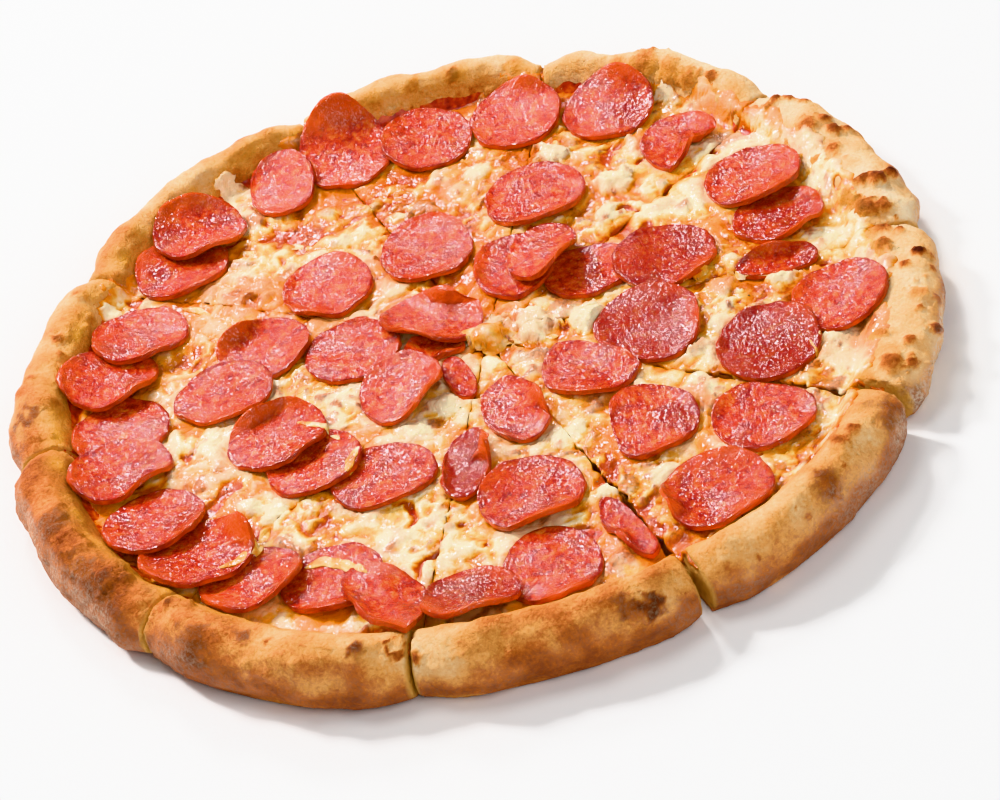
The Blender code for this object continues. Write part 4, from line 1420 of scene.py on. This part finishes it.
class PIZZA_OT_pull_strands(bpy.types.Operator):
    """Lays strings of melted cheese over the sausage"""

    bl_idname = "pizza.pull_strands"
    bl_label = "Pull the strands"

    def execute(self, context):
        material = bpy.data.materials["melted_mozzarella"]
        strands = enumerate(STRANDS, 1)
        parts = [cheese_strand(number, radius * MM, route) for number, (radius, route) in strands]
        take(*parts, *cheese_plug())
        bpy.ops.object.join()
        piece = bpy.context.object
        piece.name = "cheese_strands"
        piece.data.name = piece.name
        finish_with(piece, "REMESH", mode="VOXEL", voxel_size=0.55 * MM)
        finish_with(piece, "SMOOTH", factor=0.5, iterations=6)
        points = points_of(piece)
        normals = normals_of(piece)
        points += normals * (0.5 * MM * waves(points, 3 * MM, 4.0))[:, None]
        for index, (x, y, z) in enumerate(points.tolist()):
            ground = rest_height(x, y, z)
            points[index, 2] = ground + (z - ground) * 0.22 + 0.1 * MM
        move_to(piece, points)
        paint(piece, "thickness", 0.48 + 0.5 * waves(points, 5 * MM))
        paint(piece, "browning", np.zeros(len(points)))
        inner = 1 - smooth(26 * MM, 44 * MM, polar(points)[0])
        paint(piece, "oil", 0.32 + 0.2 * inner + 0.6 * waves(points, 6 * MM, 3.0))
        dress(piece, material, "baked_dough")
        return {"FINISHED"}


class PIZZA_OT_scatter_herbs(bpy.types.Operator):
    """Scatters flakes of dried herb over the pizza"""

    bl_idname = "pizza.scatter_herbs"
    bl_label = "Scatter the herbs"

    def execute(self, context):
        look = context.scene.pizza_garnish
        material = dried_herb_material(look)
        draw = random.Random(11)
        places = list(HERB_PLACES)
        while len(places) < look.flakes:
            degrees = math.radians(draw.uniform(0, 360))
            radius = 160 * math.sqrt(draw.random())
            places.append((radius * math.cos(degrees), radius * math.sin(degrees)))
        flakes = []
        for x, y in places:
            above = Vector((MIDDLE.x + x * MM, MIDDLE.y + y * MM, 1.0))
            place, normal, _, _ = SLICE_SURFACE.ray_cast(above, DOWN)
            if place is None or SAUSAGE_SURFACE.ray_cast(place, UP)[0]:
                continue
            deselect_all()
            bpy.ops.mesh.primitive_uv_sphere_add(segments=6, ring_count=4, radius=0.5, location=(0, 0, 0))
            flake = bpy.context.object
            size = draw.uniform(0.7, 1.5) * MM
            squash = Matrix.Diagonal((size, size * draw.uniform(0.35, 0.7), size * 0.22, 1.0))
            turn = Matrix.Rotation(draw.uniform(0, math.tau), 4, "Z")
            tilt = Matrix.Rotation(draw.uniform(-0.5, 0.5), 4, "X")
            upright = normal.to_track_quat("Z", "Y").to_matrix().to_4x4()
            lifted = Matrix.Translation(place + normal * 1.1 * MM)
            flake.data.transform(lifted @ upright @ turn @ tilt @ squash)
            flakes.append(flake)
        take(*flakes)
        bpy.ops.object.join()
        piece = bpy.context.object
        piece.name = "oregano_flakes"
        piece.data.name = piece.name
        dress(piece, material, "baked_dough")
        return {"FINISHED"}


class PIZZA_OT_set_stage(bpy.types.Operator):
    """Sets up the floor, the lights and the camera"""

    bl_idname = "pizza.set_stage"
    bl_label = "Set the stage"

    def execute(self, context):
        look = context.scene.pizza_garnish
        deselect_all()
        bpy.ops.mesh.primitive_plane_add(size=FLOOR_WIDTH, location=(0, 0, FLOOR_LEVEL))
        floor = bpy.context.object
        floor.name = "studio_floor"
        floor.data.materials.append(studio_floor_material(look))
        floor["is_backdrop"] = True
        middle = MIDDLE.to_3d()
        for name, place, size, power in STUDIO_LIGHTS:
            deselect_all()
            bpy.ops.object.light_add(type="AREA", location=Vector(place) + middle)
            lamp = bpy.context.object
            lamp.name = name
            lamp.data.shape = "DISK"
            lamp.data.size = size
            lamp.data.energy = power
            lamp.rotation_euler = (-Vector(place)).to_track_quat("-Z", "Y").to_euler()
        world = bpy.data.worlds.new("studio_air")
        world.use_nodes = True
        sky = world.node_tree.nodes["Background"]
        sky.inputs["Color"].default_value = (1.0, 1.0, 1.0, 1.0)
        sky.inputs["Strength"].default_value = WORLD_STRENGTH
        context.scene.world = world
        deselect_all()
        bpy.ops.object.camera_add(location=CAMERA_SPOT)
        camera = bpy.context.object
        camera.name = "photo_camera"
        axes = Matrix((CAMERA_RIGHT, CAMERA_UP, CAMERA_BACK)).transposed()
        camera.rotation_euler = axes.to_euler()
        camera.data.lens = LENS
        camera.data.sensor_width = SENSOR
        camera.data.dof.use_dof = False
        context.scene.camera = camera
        context.scene.view_settings.view_transform = "Khronos PBR Neutral"
        return {"FINISHED"}


class PIZZA_PT_panel(bpy.types.Panel):
    """Lists the steps and what a user can change"""

    bl_label = "Pizza"
    bl_idname = "PIZZA_PT_panel"
    bl_space_type = "VIEW_3D"
    bl_region_type = "UI"
    bl_category = "Pizza"

    def draw(self, context):
        for operator in OPERATORS:
            self.layout.operator(operator.bl_idname)
        for name, group in LOOKS:
            box = self.layout.box()
            for choice in group.__annotations__:
                box.prop(getattr(context.scene, name), choice)


OPERATORS = (
    PIZZA_OT_bake_dough,
    PIZZA_OT_spread_sauce,
    PIZZA_OT_melt_cheese,
    PIZZA_OT_lay_sausage,
    PIZZA_OT_pull_strands,
    PIZZA_OT_scatter_herbs,
    PIZZA_OT_set_stage,
)
LOOKS = (
    ("pizza_dough", DoughLook),
    ("pizza_sauce", SauceLook),
    ("pizza_cheese", CheeseLook),
    ("pizza_sausage", SausageLook),
    ("pizza_garnish", GarnishLook),
)


def register():
    for name, group in LOOKS:
        bpy.utils.register_class(group)
        setattr(bpy.types.Scene, name, PointerProperty(type=group))
    for kind in OPERATORS + (PIZZA_PT_panel,):
        bpy.utils.register_class(kind)


def unregister():
    for kind in reversed(OPERATORS + (PIZZA_PT_panel,)):
        bpy.utils.unregister_class(kind)
    for name, group in reversed(LOOKS):
        delattr(bpy.types.Scene, name)
        bpy.utils.unregister_class(group)


def main():
    """Dresses the pizza step by step."""
    register()
    bpy.ops.pizza.bake_dough()
    bpy.ops.pizza.spread_sauce()
    bpy.ops.pizza.melt_cheese()
    bpy.ops.pizza.lay_sausage()
    bpy.ops.pizza.pull_strands()
    bpy.ops.pizza.scatter_herbs()
    bpy.ops.pizza.set_stage()


if __name__ == "__main__":
    main()
